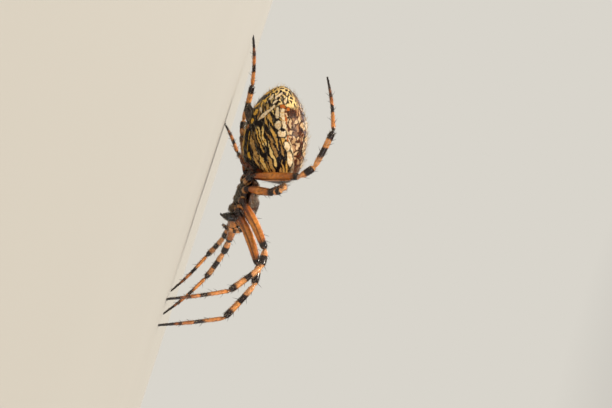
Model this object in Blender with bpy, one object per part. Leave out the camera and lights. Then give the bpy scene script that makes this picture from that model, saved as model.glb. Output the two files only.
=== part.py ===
"""Orb weaver spider, a female about 14 mm long, as a life-size still model standing on its feet.

The head faces -Y, the spider's left side is +X and the floor is z = 0. The body is built level in its own
frame and leaned a little on to its left side by the trunk empty. The legs are built in the floor's frame,
from a table of directions, and the six that carry the spider end in small flats on the floor. The third and
fourth right legs are lifted.
"""

import math

import bmesh
import bpy
from mathutils import Euler, Matrix, Vector

MM = 0.001

# Stance
BODY_HEIGHT = 4.2  # middle of the front body above the floor, mm
BODY_LEAN = 8.0  # degrees, right side up
SEAM = 0.05  # gap between neighbouring pieces, mm

# Front body, mm
CARAPACE_REAR, CARAPACE_FRONT = -1.95, 2.6
THORAX_HALF_WIDTH, HEAD_HALF_WIDTH = 1.95, 1.12
THORAX_HEIGHT, HEAD_HEIGHT = 1.2, 1.5
CARAPACE_BASE = 0.06
STERNUM_HALF_LENGTH, STERNUM_HALF_WIDTH = 1.16, 0.86
STERNUM_TOP, STERNUM_BOTTOM = -0.12, -1.0

# Abdomen, mm
ABDOMEN_CENTRE = (-6.0, 0.0, 1.1)  # ahead, left, up
ABDOMEN_PITCH = 10.0  # degrees, rear end down
ABDOMEN_FRONT_LENGTH, ABDOMEN_REAR_LENGTH = 4.1, 5.6
ABDOMEN_HALF_WIDTH, ABDOMEN_HALF_HEIGHT = 3.22, 3.2
ABDOMEN_FRONT_LIFT = 0.6
SPINNERET_STATION = -7.7  # how far ahead of the middle of the front body, so behind it
EPIGYNE_STATION = -2.95

# Legs, mm: coxa with trochanter, femur, patella, tibia, foot (metatarsus with tarsus), and largest radii
SEGMENTS = ("coxa", "femur", "patella", "tibia", "foot")
LEG_LENGTHS = {
    1: (1.25, 5.3, 2.0, 4.1, 6.0),
    2: (1.25, 5.0, 1.9, 3.8, 5.6),
    3: (1.20, 3.6, 1.3, 2.5, 3.6),
    4: (1.25, 5.2, 1.7, 3.8, 5.3),
}
LEG_RADII = (0.47, 0.49, 0.39, 0.345, 0.25)
LEG_GIRTH = {1: 1.0, 2: 0.98, 3: 0.86, 4: 0.95}
THINNEST = 0.25  # no radius in the middle of a limb is less

# Where each pair of legs leaves the body: degrees round the sternum, and the way the coxa points
ROOT_ANGLES = {1: 40, 2: 74, 3: 108, 4: 141}
COXA_TURNS = {1: 54, 2: 76, 3: 106, 4: 138}
ROOT_ELLIPSE = (1.42, 1.08)  # half length, half width
ROOT_HEIGHT = -0.56
COXA_RISE = 8

# Pose: which way each length of a leg points, in degrees: turn outwards from straight ahead, rise above
# level. A foot with no rise of its own is laid so that it ends on the floor. A patella points midway between
# its neighbours unless it has a direction here.
LEG_POSES = {
    ("right", 1): {"femur": (20, 36), "shin": (15, -26), "foot": (7, None)},
    ("right", 2): {"femur": (27, 39), "shin": (30, -36), "foot": (20, None)},
    ("right", 3): {"femur": (97, 37), "patella": (130, 38), "shin": (262, 2), "foot": (284, -16)},
    ("right", 4): {"femur": (116, 54), "shin": (169, 8), "foot": (198, -21)},
    ("left", 1): {"femur": (49, 7), "shin": (31, -13), "foot": (-18, None)},
    ("left", 2): {"femur": (50, 4), "shin": (43, -16), "foot": (-14, None)},
    ("left", 3): {"femur": (114, 14), "shin": (134, -45), "foot": (208, None)},
    ("left", 4): {"femur": (140, -17), "shin": (194, -4), "foot": (212, None)},
}
SIDES = {"left": 1, "right": -1}

# How thick a piece is along its length, as shares of its length and of its largest radius
PROFILES = {
    "coxa": ((0, 0.6), (0.2, 0.86), (0.55, 1), (0.85, 0.88), (1, 0.62)),
    "femur": ((0, 0.6), (0.05, 0.8), (0.2, 0.95), (0.42, 1), (0.7, 0.93), (0.92, 0.82), (1, 0.58)),
    "patella": ((0, 0.62), (0.14, 0.88), (0.55, 1), (0.88, 0.96), (1, 0.66)),
    "tibia": ((0, 0.64), (0.07, 0.9), (0.35, 0.88), (0.72, 0.9), (0.92, 1), (1, 0.68)),
    "foot": ((0, 0.85), (0.05, 1), (0.3, 1), (0.6, 1), (0.85, 1), (1, 1)),
}
BOWS = {"coxa": 0, "femur": 0.035, "patella": 0.02, "tibia": 0.012, "foot": 0.03}

COLOURS = {  # linear colour, roughness
    "amber_shell": ((0.36, 0.13, 0.035), 0.42),
    "dark_shell": ((0.035, 0.018, 0.012), 0.35),
    "brown_shell": ((0.13, 0.055, 0.025), 0.45),
    "patterned_skin": ((0.22, 0.14, 0.045), 0.5),
    "eye_black": ((0.008, 0.006, 0.006), 0.08),
}


def body_point(ahead, left, up):
    """A place in the body's own frame, from millimetres."""
    return Vector((left, -ahead, up)) * MM


def heading(side, turn, rise):
    """The unit vector that turns outwards from straight ahead on that side, and rises above level."""
    turn, rise = math.radians(turn), math.radians(rise)
    level = math.cos(rise)
    return Vector((side * math.sin(turn) * level, -math.cos(turn) * level, math.sin(rise)))


def clear_scene():
    for obj in list(bpy.data.objects):
        bpy.data.objects.remove(obj)


def new_collection(name):
    collection = bpy.data.collections.new(name)
    bpy.context.scene.collection.children.link(collection)
    return collection


def make_materials():
    made = {}
    for name, (colour, roughness) in COLOURS.items():
        material = bpy.data.materials.new(name)
        material.use_nodes = True
        shader = material.node_tree.nodes["Principled BSDF"]
        shader.inputs["Base Color"].default_value = (*colour, 1)
        shader.inputs["Roughness"].default_value = roughness
        made[name] = material
    return made


def add_object(name, mesh, material, collection, parent=None):
    obj = bpy.data.objects.new(name, mesh)
    collection.objects.link(obj)
    if material:
        mesh.materials.clear()
        mesh.materials.append(material)
    mesh.shade_smooth()
    mesh.set_sharp_from_angle(angle=math.radians(50))
    obj.parent = parent
    return obj


def face_outwards(mesh):
    """Turns every face of a closed bmesh outwards, telling inside from outside by its volume."""
    bmesh.ops.recalc_face_normals(mesh, faces=mesh.faces)
    if mesh.calc_volume(signed=True) < 0:
        bmesh.ops.reverse_faces(mesh, faces=mesh.faces)


def shaped_ball(name, segments, rings, shape, material, collection, parent=None):
    """A closed skin round a line from front to rear. shape(along, side, top) takes the place along the line,
    from -1 at the rear to 1 at the front, and the way out from it, and gives ahead, left and up in mm."""
    mesh = bpy.data.meshes.new(name)
    ball = bmesh.new()
    bmesh.ops.create_uvsphere(ball, u_segments=segments, v_segments=rings, radius=1)
    for vertex in ball.verts:
        along = max(-1.0, min(1.0, vertex.co.z))
        reach = math.hypot(vertex.co.x, vertex.co.y)
        side, top = (vertex.co.x / reach, vertex.co.y / reach) if reach > 1e-6 else (0.0, 0.0)
        vertex.co = body_point(*shape(along, side, top))
    face_outwards(ball)
    ball.to_mesh(mesh)
    ball.free()
    return add_object(name, mesh, material, collection, parent)


def limb(name, points, radii, material, collection, parent=None, resolution=3):
    """A tube through the points, in metres, with its own radius at each, made a mesh with closed ends."""
    curve = bpy.data.curves.new(name + "_line", "CURVE")
    curve.dimensions = "3D"
    curve.bevel_depth = 1.0
    curve.bevel_resolution = resolution
    curve.use_fill_caps = True
    spline = curve.splines.new("POLY")
    spline.points.add(len(points) - 1)
    for knot, point, radius in zip(spline.points, points, radii):
        knot.co = (*point, 1)
        knot.radius = radius
    line = bpy.data.objects.new(name + "_line", curve)
    collection.objects.link(line)
    graph = bpy.context.evaluated_depsgraph_get()
    mesh = bpy.data.meshes.new_from_object(line.evaluated_get(graph))
    bpy.data.objects.remove(line)
    tube = bmesh.new()
    tube.from_mesh(mesh)
    bmesh.ops.remove_doubles(tube, verts=tube.verts, dist=1e-6)
    face_outwards(tube)
    tube.to_mesh(mesh)
    tube.free()
    return add_object(name, mesh, material, collection, parent)


def cut_with(obj, cutter, operation="DIFFERENCE"):
    """A live Boolean of the object with the cutter, which then shows as wire and isn't rendered."""
    change = obj.modifiers.new(operation.lower() + "_" + cutter.name, "BOOLEAN")
    change.operation = operation
    change.solver = "EXACT"
    change.object = cutter
    cutter.hide_render = True
    cutter.display_type = "WIRE"


def flatten_below_floor(obj):
    """Cuts off what is below the floor and closes the cut with one flat face."""
    mesh = bmesh.new()
    mesh.from_mesh(obj.data)
    everything = mesh.verts[:] + mesh.edges[:] + mesh.faces[:]
    cut = bmesh.ops.bisect_plane(
        mesh, geom=everything, dist=1e-7, plane_co=(0, 0, 0), plane_no=(0, 0, 1), clear_inner=True
    )
    rim = [edge for edge in cut["geom_cut"] if isinstance(edge, bmesh.types.BMEdge)]
    bmesh.ops.edgenet_fill(mesh, edges=rim)
    face_outwards(mesh)
    mesh.to_mesh(obj.data)
    mesh.free()


# ---- Front body ----


def build_carapace(materials, parts, trunk):
    """A pear-shaped shield: a broad, domed thorax and a narrower, higher head with a blunt front."""
    length = (CARAPACE_FRONT - CARAPACE_REAR) / 2
    middle = (CARAPACE_FRONT + CARAPACE_REAR) / 2

    def dome(along, centre, reach, power):
        return max(0.0, 1 - abs((along - centre) / reach) ** power) ** (1 / power)

    def shape(along, side, top):
        thorax, head = dome(along, -0.22, 0.8, 2.2), dome(along, 0.36, 0.655, 4.5)
        half_width = max(THORAX_HALF_WIDTH * thorax, HEAD_HALF_WIDTH * head)
        height = max(THORAX_HEIGHT * thorax, HEAD_HEIGHT * head)
        fovea = 0.16 * math.exp(-(((along + 0.2) / 0.13) ** 2)) * max(0.0, top) ** 6
        up = CARAPACE_BASE + (height * (top**0.9) * (1 - fovea) if top > 0 else 0.05 * top)
        return middle + length * along, half_width * side, up

    carapace = shaped_ball("carapace", 22, 16, shape, materials["dark_shell"], parts, trunk)
    return carapace


def build_sternum(materials, parts, trunk):
    """The breastplate, broad in front and pointed behind. The lip is the middle of its front end."""

    def shape(along, side, top):
        broad = 1 + 0.22 * along
        half_width = STERNUM_HALF_WIDTH * broad * math.sqrt(max(0.0, 1 - along**4))
        swell = math.sqrt(max(0.0, 1 - along**6))
        middle = (STERNUM_TOP + STERNUM_BOTTOM) / 2
        up = STERNUM_TOP * swell if top > 0 else STERNUM_BOTTOM * swell
        up = middle + (up - middle) * abs(top) ** 0.6 * swell
        return STERNUM_HALF_LENGTH * along, half_width * side, up

    shaped_ball("sternum", 20, 10, shape, materials["dark_shell"], parts, trunk)


def build_mouth(materials, parts, trunk):
    """Two plates beside the mouth, two jaws that hang from the front of the head, each with its fang."""
    for name, side in SIDES.items():

        def plate(along, out, top, side=side):
            width = math.sqrt(max(0.0, 1 - along**4))
            return 1.56 + 0.36 * along, side * 0.36 + 0.29 * width * out, -0.93 + 0.24 * width * top

        shaped_ball(f"maxilla_{name}", 12, 8, plate, materials["brown_shell"], parts, trunk)
        line = (
            (2.3, 0.44, -0.12), (2.36, 0.44, -0.35), (2.44, 0.44, -0.8), (2.5, 0.43, -1.25), (2.5, 0.4, -1.5),
        )
        points = [body_point(ahead, side * left, up) for ahead, left, up in line]
        radii = [radius * MM for radius in (0.3, 0.39, 0.4, 0.35, 0.22)]
        jaw = limb(f"chelicera_{name}", points, radii, materials["dark_shell"], parts, trunk)
        line = ((2.52, 0.46, -1.35), (2.56, 0.46, -1.62), (2.47, 0.38, -1.8), (2.34, 0.28, -1.84))
        points = [body_point(ahead, side * left, up) for ahead, left, up in line]
        radii = [radius * MM for radius in (0.14, 0.12, 0.09, 0.05)]
        fang = limb(f"fang_{name}", points, radii, None, bpy.data.collections["cutters"], trunk, resolution=2)
        cut_with(jaw, fang, "UNION")


def build_palps(materials, parts, trunk):
    """The two feelers, which arch forwards and curl down in front of the jaws."""
    line = (
        (2.2, 1.06, -0.78), (2.32, 1.1, -0.52), (2.66, 1.12, 0.0), (3.0, 1.08, 0.34), (3.28, 0.99, 0.42),
        (3.5, 0.88, 0.24), (3.62, 0.76, -0.14), (3.62, 0.62, -0.56), (3.54, 0.5, -0.94), (3.4, 0.4, -1.24),
    )
    radii = (0.19, 0.23, 0.25, 0.25, 0.25, 0.25, 0.27, 0.27, 0.25, 0.18)
    for name, side in SIDES.items():
        points = [body_point(ahead, side * left, up) for ahead, left, up in line]
        limb(f"palp_{name}", points, [r * MM for r in radii], materials["amber_shell"], parts, trunk)


def build_eyes(materials, parts, trunk, carapace):
    """Eight eyes set in sockets on the front of the head: a square of four, and a close pair at each side."""
    rows = {  # left of the middle and above the body's middle plane, then radius
        "front_middle": (0.24, 0.78, 0.15),
        "rear_middle": (0.2, 1.2, 0.13),
        "front_side": (0.86, 0.66, 0.11),
        "rear_side": (0.93, 0.92, 0.11),
    }
    for place, (left, up, radius) in rows.items():
        for name, side in SIDES.items():
            start = body_point(CARAPACE_FRONT + 2, side * left, up)
            hit, spot, normal, _ = carapace.ray_cast(start, body_point(-1, 0, 0).normalized())
            spot = spot - normal * radius * MM * 0.35 if hit else start
            ball = bmesh.new()
            bmesh.ops.create_uvsphere(ball, u_segments=8, v_segments=6, radius=radius * MM)
            mesh = bpy.data.meshes.new(f"eye_{place}_{name}")
            ball.to_mesh(mesh)
            eye = add_object(mesh.name, mesh, materials["eye_black"], parts, trunk)
            eye.location = spot
            bmesh.ops.scale(ball, vec=Vector((1, 1, 1)) * (radius + 0.6 * SEAM) / radius, verts=ball.verts)
            mesh = bpy.data.meshes.new(f"socket_{place}_{name}")
            ball.to_mesh(mesh)
            ball.free()
            socket = add_object(mesh.name, mesh, None, bpy.data.collections["cutters"], trunk)
            socket.location = spot
            cut_with(carapace, socket)


# ---- Abdomen ----


def abdomen_shape(grow=0.0):
    """The abdomen's outline as a shape for shaped_ball, in its own frame, larger all round by grow mm."""

    def shape(along, side, top):
        if along > 0:
            girth = max(0.0, 1 - along**2.5) ** (1 / 2.4)
            ahead = (ABDOMEN_FRONT_LENGTH + grow) * along
        else:
            girth = max(0.0, 1 - along**2) ** 0.6
            ahead = (ABDOMEN_REAR_LENGTH + grow) * along
        lift = ABDOMEN_FRONT_LIFT * max(0.0, along) ** 4
        left = (ABDOMEN_HALF_WIDTH + grow) * girth * side
        up = (ABDOMEN_HALF_HEIGHT + grow) * girth * top + lift
        return ahead, left, up

    return shape


def build_abdomen(materials, parts, trunk):
    """The egg-shaped abdomen, highest near its front, with a narrow waist tube in front of it."""
    made = []
    for name, grow, collection in (
        ("abdomen", 0.0, parts),
        ("abdomen_clearance", SEAM, bpy.data.collections["cutters"]),
    ):
        material = materials["patterned_skin"] if collection == parts else None
        obj = shaped_ball(name, 30, 20, abdomen_shape(grow), material, collection, trunk)
        obj.location = body_point(*ABDOMEN_CENTRE)
        obj.rotation_euler = Euler((math.radians(-ABDOMEN_PITCH), 0, 0))
        made.append(obj)
    abdomen, clearance = made
    line = ((-1.5, 0, -0.36), (-1.8, 0, -0.38), (-2.35, 0, -0.28), (-3.0, 0, 0.2), (-3.6, 0, 0.7))
    points = [body_point(*place) for place in line]
    radii = [radius * MM for radius in (0.2, 0.31, 0.33, 0.42, 0.42)]
    pedicel = limb("pedicel", points, radii, materials["brown_shell"], parts, trunk)
    cut_with(pedicel, clearance)
    return abdomen, clearance


def underside(abdomen, station):
    """The point of the abdomen's lower middle line at that station, and the way out of the skin there."""
    into = (Matrix.Translation(abdomen.location) @ abdomen.rotation_euler.to_matrix().to_4x4()).inverted()
    start = into @ body_point(station, 0, -10)
    _, spot, normal, _ = abdomen.ray_cast(start, (into.to_3x3() @ Vector((0, 0, 1))).normalized())
    back = into.inverted()
    return back @ spot, (back.to_3x3() @ normal).normalized()


def build_spinnerets(materials, parts, trunk, abdomen, clearance):
    """A low mound under the abdomen with two large and two small silk cones, tips together."""
    spot, out = underside(abdomen, SPINNERET_STATION)
    spot, back = spot / MM, body_point(-1, 0, 0).normalized()
    tilt = (out * 0.85 + back * 0.5).normalized()

    def mound(along, side, top):
        width = math.sqrt(max(0.0, 1 - along * along))
        return -spot.y + 0.78 * along, 0.7 * width * side, spot.z + 0.42 * width * top

    spinnerets = shaped_ball("spinnerets", 16, 10, mound, materials["dark_shell"], parts, trunk)
    cones = (("front", 0.3, 0.3, 1.0, 0.3), ("rear", -0.3, 0.28, 0.85, 0.25))
    cutters = bpy.data.collections["cutters"]
    for place, ahead, spread, length, radius in cones:
        for name, side in SIDES.items():
            foot = (spot + Vector((side * spread, -ahead, 0))) * MM
            tip = foot + (tilt + Vector((-side * 0.14, 0, 0))) * length * MM
            points = [foot.lerp(tip, share) for share in (-0.2, 0.35, 0.75, 1)]
            radii = [radius * share * MM for share in (1, 0.95, 0.7, 0.42)]
            cone = limb(f"cone_{place}_{name}", points, radii, None, cutters, trunk, 2)
            cut_with(spinnerets, cone, "UNION")
    cut_with(spinnerets, clearance)


def build_epigyne(materials, parts, trunk, abdomen, clearance):
    """The raised plate under the front of the abdomen, with its tongue pointing back."""
    spot, out = underside(abdomen, EPIGYNE_STATION)
    spot = spot / MM
    behind = underside(abdomen, EPIGYNE_STATION - 0.9)[0] / MM
    slope = (behind - spot).normalized()

    def plate(along, side, top):
        width = math.sqrt(max(0.0, 1 - along * along))
        place = spot - slope * 0.42 * along + out * (0.26 * width * top)
        return -place.y, 0.52 * width * side, place.z

    epigyne = shaped_ball("epigyne", 14, 8, plate, materials["brown_shell"], parts, trunk)
    line = ((-0.1, 0.1), (0.3, 0.34), (0.75, 0.36), (1.1, 0.24))
    points = [(spot + slope * run + out * rise) * MM for run, rise in line]
    radii = [radius * MM for radius in (0.14, 0.15, 0.13, 0.08)]
    tongue = limb("scape", points, radii, None, bpy.data.collections["cutters"], trunk, resolution=2)
    cut_with(epigyne, tongue, "UNION")
    cut_with(epigyne, clearance)


# ---- Legs ----


def leg_joints(trunk, side_name, number):
    """The places of a leg's joints in metres, from its root on the body to its toe."""
    side, lengths = SIDES[side_name], [length * MM for length in LEG_LENGTHS[number]]
    around = math.radians(ROOT_ANGLES[number])
    half_length, half_width = ROOT_ELLIPSE
    root = body_point(half_length * math.cos(around), side * half_width * math.sin(around), ROOT_HEIGHT)
    hip_way = trunk.to_3x3() @ heading(side, COXA_TURNS[number], COXA_RISE)
    pose = LEG_POSES[side_name, number]
    thigh_way, shin_way = heading(side, *pose["femur"]), heading(side, *pose["shin"])
    knee_way = heading(side, *pose["patella"]) if "patella" in pose else (thigh_way + shin_way).normalized()
    joints = [trunk @ root]
    for way, length in zip((hip_way, thigh_way, knee_way, shin_way), lengths):
        joints.append(joints[-1] + way * length)
    turn, rise = pose["foot"]
    if rise is None:
        rise = -math.degrees(math.asin(min(1.0, joints[-1].z / lengths[-1])))
    joints.append(joints[-1] + heading(side, turn, rise) * lengths[-1])
    return joints


def bowed(start, end, share, bow):
    """The point that far along a piece that arches upwards by bow times its length."""
    run = end - start
    up = Vector((0, 0, 1)) - run.normalized() * run.normalized().z
    return start + run * share + up * (bow * run.length * math.sin(math.pi * share))


def build_leg(materials, parts, trunk, side_name, number):
    joints = leg_joints(trunk, side_name, number)
    ways = [(b - a).normalized() for a, b in zip(joints, joints[1:])]
    on_floor = LEG_POSES[side_name, number]["foot"][1] is None
    for index, segment in enumerate(SEGMENTS):
        radius = max(THINNEST, LEG_RADII[index] * LEG_GIRTH[number])
        ends = [joints[index], joints[index + 1]]
        for which, (near, far) in enumerate(((index - 1, index), (index, index + 1))):
            if near < 0 or far >= len(ways):
                continue
            bend = ways[near].angle(ways[far])
            end_radius = radius * PROFILES[segment][-which][1]
            trim = SEAM * MM / 2 + end_radius * MM * math.tan(bend / 2)
            ends[which] = ends[which] + ways[index] * (trim if which == 0 else -trim)
        points = [bowed(*ends, share, BOWS[segment]) for share, _ in PROFILES[segment]]
        radii = [radius * size * MM for _, size in PROFILES[segment]]
        if segment == "foot" and on_floor:
            points.append(points[-1] + (points[-1] - points[-2]).normalized() * 0.4 * MM)
            radii.append(radii[-1])
        elif segment == "foot":
            radii[-1] *= 0.7
        name = f"leg{number}_{side_name}_{segment}"
        shell = materials["amber_shell" if segment in ("femur", "tibia") else "brown_shell"]
        piece = limb(name, points, radii, shell, parts)
        if segment == "foot" and on_floor:
            flatten_below_floor(piece)


def footprint_middle(objects):
    """The middle of the box that holds the objects, at floor level."""
    graph = bpy.context.evaluated_depsgraph_get()
    corners = []
    for obj in objects:
        evaluated = obj.evaluated_get(graph)
        mesh = evaluated.to_mesh()
        corners += [evaluated.matrix_world @ vertex.co for vertex in mesh.vertices]
        evaluated.to_mesh_clear()
    low = [min(corner[axis] for corner in corners) for axis in (0, 1)]
    high = [max(corner[axis] for corner in corners) for axis in (0, 1)]
    return Vector(((low[0] + high[0]) / 2, (low[1] + high[1]) / 2, 0))


def main():
    clear_scene()
    parts = new_collection("orb_weaver_spider")
    cutters = new_collection("cutters")
    materials = make_materials()
    stand = bpy.data.objects.new("model_origin", None)
    trunk = bpy.data.objects.new("trunk", None)
    parts.objects.link(stand)
    parts.objects.link(trunk)
    trunk.parent = stand
    trunk.location = (0, 0, BODY_HEIGHT * MM)
    trunk.rotation_euler = Euler((0, math.radians(BODY_LEAN), 0))
    trunk_place = Matrix.Translation(trunk.location) @ trunk.rotation_euler.to_matrix().to_4x4()

    carapace = build_carapace(materials, parts, trunk)
    build_eyes(materials, parts, trunk, carapace)
    build_sternum(materials, parts, trunk)
    build_mouth(materials, parts, trunk)
    build_palps(materials, parts, trunk)
    abdomen, clearance = build_abdomen(materials, parts, trunk)
    build_spinnerets(materials, parts, trunk, abdomen, clearance)
    build_epigyne(materials, parts, trunk, abdomen, clearance)
    for side_name, number in LEG_POSES:
        build_leg(materials, parts, trunk_place, side_name, number)
    for obj in parts.objects:
        if obj.type == "MESH" and obj.parent is None:
            obj.parent = stand
    bpy.context.view_layer.update()
    solids = [obj for obj in parts.objects if obj.type == "MESH"]
    stand.location = -footprint_middle(solids)
    cutters.hide_render = True


main()
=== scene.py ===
import math

import bmesh
import bpy
import numpy as np
from mathutils import Euler, Matrix, Vector


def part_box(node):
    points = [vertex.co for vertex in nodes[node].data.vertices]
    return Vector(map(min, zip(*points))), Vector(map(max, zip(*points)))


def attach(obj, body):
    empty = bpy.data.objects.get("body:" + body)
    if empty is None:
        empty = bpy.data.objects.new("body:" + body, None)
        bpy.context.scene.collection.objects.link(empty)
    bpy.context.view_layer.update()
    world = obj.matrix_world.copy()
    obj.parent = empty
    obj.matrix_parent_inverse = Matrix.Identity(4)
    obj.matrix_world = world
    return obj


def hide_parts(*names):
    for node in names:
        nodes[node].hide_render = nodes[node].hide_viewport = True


# An orb weaver spider, a female, as a life-size still model. Shapes are worked out in millimetres in the
# body's own frame, and turned to metres in the model's frame when a piece is finished.

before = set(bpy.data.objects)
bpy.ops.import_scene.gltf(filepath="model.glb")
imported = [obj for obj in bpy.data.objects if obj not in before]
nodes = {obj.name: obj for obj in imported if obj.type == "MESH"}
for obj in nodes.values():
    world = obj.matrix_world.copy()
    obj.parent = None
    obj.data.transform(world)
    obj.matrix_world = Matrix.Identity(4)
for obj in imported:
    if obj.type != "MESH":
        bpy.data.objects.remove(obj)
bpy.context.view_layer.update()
mm = 0.001
sides = {"left": 1, "right": -1}


def middleOf(name):
    low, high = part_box(name)
    return (low + high) / 2


# The body's own axes come from the eyes, and its origin from the breastplate, whose middle lies below it
plateDepth = 0.56  # mm
leftWay = (middleOf("eye_front_side_left") - middleOf("eye_front_side_right")).normalized()
aheadWay = Vector((0, -1, 0))
upWay = leftWay.cross(-aheadWay).normalized()
bodyTurn = Matrix((leftWay, -aheadWay, upWay)).transposed()
plate = np.array([
    (v.co.dot(leftWay), -v.co.dot(aheadWay), v.co.dot(upWay)) for v in nodes["sternum"].data.vertices
])
plateMiddle = (plate.min(0) + plate.max(0)) / 2 / mm
bodyOrigin = bodyTurn @ (Vector(plateMiddle) + Vector((0, 0, plateDepth)))
bodyPlace = Matrix.Translation(bodyOrigin) @ bodyTurn.to_4x4()
print("frame loaded, body at", [round(c, 2) for c in bodyOrigin])


def bodyPoint(ahead, left, up):
    return Vector((left, -ahead, up))


def smoothStep(low, high, value):
    share = min(1.0, max(0.0, (value - low) / (high - low)))
    return share * share * (3 - 2 * share)


def bell(value, middle, width):
    return math.exp(-(((value - middle) / width) ** 2))


# Tools for materials

def linearColour(code):
    channels = [int(code[i : i + 2], 16) / 255 for i in (1, 3, 5)]
    return (*[c / 12.92 if c <= 0.04045 else ((c + 0.055) / 1.055) ** 2.4 for c in channels], 1)


def addNode(tree, kind, inputs=(), take=0, **settings):
    # adds one node of that kind and gives one of its outputs; inputs go by name or in order, linked or set
    node = tree.nodes.new("ShaderNode" + kind)
    for name, value in settings.items():
        setattr(node, name, value)
    for name, value in inputs.items() if isinstance(inputs, dict) else enumerate(inputs):
        if isinstance(value, bpy.types.NodeSocket):
            tree.links.new(value, node.inputs[name])
        else:
            node.inputs[name].default_value = value
    return node.outputs[take]


def newMaterial(name, fixed):
    # fixed holds the shader's own values that are the same all over
    material = bpy.data.materials.new(name)
    material.use_nodes = True
    for socket, value in fixed.items():
        material.node_tree.nodes["Principled BSDF"].inputs[socket].default_value = value
    return material, material.node_tree


def plugIn(material, patterns):
    # patterns holds what varies over the surface
    for socket, value in patterns.items():
        material.node_tree.links.new(value, material.node_tree.nodes["Principled BSDF"].inputs[socket])
    return material


def setRamp(node, stops):
    elements = node.color_ramp.elements
    while len(elements) < len(stops):
        elements.new(0.5)
    for element, (place, colour) in zip(elements, stops):
        element.position = place
        element.color = linearColour(colour)


def setCurve(node, knots):
    curve = node.mapping.curves[0]
    while len(curve.points) < len(knots):
        curve.points.new(0.5, 0.5)
    for point, knot in zip(curve.points, knots):
        point.location = knot
    node.mapping.update()


# Tools for shapes

def addPiece(name, mesh, material):
    mesh.shade_smooth()
    mesh.materials.append(material)
    piece = bpy.data.objects.new(name, mesh)
    bpy.context.scene.collection.objects.link(piece)
    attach(piece, "root")
    return piece


def finishPiece(name, shape, material, replaced=(), place=bodyPlace):
    # turns a shape in mm, in the frame that place gives, into a piece that rides on the body
    bmesh.ops.recalc_face_normals(shape, faces=shape.faces)
    if shape.calc_volume(signed=True) < 0:
        bmesh.ops.reverse_faces(shape, faces=shape.faces)
    bmesh.ops.transform(shape, matrix=Matrix.Scale(mm, 4) @ place, verts=shape.verts)
    mesh = bpy.data.meshes.new(name)
    shape.to_mesh(mesh)
    shape.free()
    piece = addPiece(name, mesh, material)
    if replaced:
        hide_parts(*replaced)
    return piece


def shapedBall(segments, rings, shapeOf):
    # a ball whose points are moved by shapeOf(along, side, top): along runs -1 at the rear to 1 at the front
    ball = bmesh.new()
    bmesh.ops.create_uvsphere(ball, u_segments=segments, v_segments=rings, radius=1)
    for vertex in ball.verts:
        along = max(-1.0, min(1.0, vertex.co.z))
        reach = math.hypot(vertex.co.x, vertex.co.y)
        side, top = (vertex.co.x / reach, vertex.co.y / reach) if reach > 1e-6 else (0.0, 0.0)
        vertex.co = bodyPoint(*shapeOf(along, side, top))
    return ball


def sweepLine(points, radii, stations):
    # rings along a line: centre, radius, way along, way up, way across and station of each, with no twist
    points = [Vector(p) for p in points]
    ways = []
    for i in range(len(points)):
        ways.append((points[min(i + 1, len(points) - 1)] - points[max(i - 1, 0)]).normalized())
    up = Vector((0, 0, 1))
    up = (up - ways[0] * up.dot(ways[0])).normalized()
    rings = []
    for i, way in enumerate(ways):
        if i:
            up = ways[i - 1].rotation_difference(way) @ up
            up = (up - way * up.dot(way)).normalized()
        rings.append((points[i], radii[i], way, up, way.cross(up), stations[i]))
    return rings


def rollTube(rings, segments):
    # a grid rolled into a tube along the rings; its two ends close on themselves
    tube = bmesh.new()
    tube.loops.layers.uv.new("UVMap")
    bmesh.ops.create_grid(tube, x_segments=segments, y_segments=len(rings) - 1, size=0.5, calc_uvs=True)
    stationLayer = tube.verts.layers.float.new("station")
    for vertex in tube.verts:
        angle = (vertex.co.x + 0.5) * 2 * math.pi
        centre, radius, _, up, across, station = rings[round((vertex.co.y + 0.5) * (len(rings) - 1))]
        vertex.co = centre + radius * (up * math.cos(angle) + across * math.sin(angle))
        vertex[stationLayer] = station
    bmesh.ops.remove_doubles(tube, verts=tube.verts, dist=1e-4)
    return tube


def roundEnds(points, radii, stations, steps=3, bulge=0.6):
    # adds rings that close each end with a small round cap
    first, last = Vector(points[0]), Vector(points[-1])
    back = (first - Vector(points[1])).normalized()
    on = (last - Vector(points[-2])).normalized()
    headPoints, headRadii, tailPoints, tailRadii = [], [], [], []
    for i in range(steps):
        turn = math.pi / 2 * (i + 1) / steps
        headPoints.insert(0, first + back * radii[0] * bulge * math.sin(turn))
        headRadii.insert(0, radii[0] * math.cos(turn))
        tailPoints.append(last + on * radii[-1] * bulge * math.sin(turn))
        tailRadii.append(radii[-1] * math.cos(turn))
    points = headPoints + [Vector(p) for p in points] + tailPoints
    radii = headRadii + list(radii) + tailRadii
    stations = [stations[0]] * steps + list(stations) + [stations[-1]] * steps
    return points, radii, stations


def denser(points, radii, count):
    # the same line with that many points on it, on a smooth curve through the given ones
    points = np.array([tuple(p) for p in points], float)
    radii = np.array(radii, float)
    run = np.concatenate([[0], np.cumsum(np.linalg.norm(np.diff(points, axis=0), axis=1))])
    rows = np.column_stack([points, radii])
    slopes = np.gradient(rows, run, axis=0)
    made = []
    for place in np.linspace(0, run[-1], count):
        i = min(max(int(np.searchsorted(run, place)) - 1, 0), len(run) - 2)
        gap = run[i + 1] - run[i]
        t = (place - run[i]) / gap
        made.append(
            rows[i] * (2 * t**3 - 3 * t**2 + 1) + rows[i + 1] * (3 * t**2 - 2 * t**3)
            + slopes[i] * gap * (t**3 - 2 * t**2 + t) + slopes[i + 1] * gap * (t**3 - t**2)
        )
    made = np.array(made)
    return [Vector(row[:3]) for row in made], [max(1e-3, float(r)) for r in made[:, 3]]


def smoothTube(points, radii, count, segments):
    # a closed tube of that many rings through the points
    points, radii = denser(points, radii, count)
    stations = [i / (count - 1) for i in range(count)]
    return rollTube(sweepLine(*roundEnds(points, radii, stations)), segments)


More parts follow.
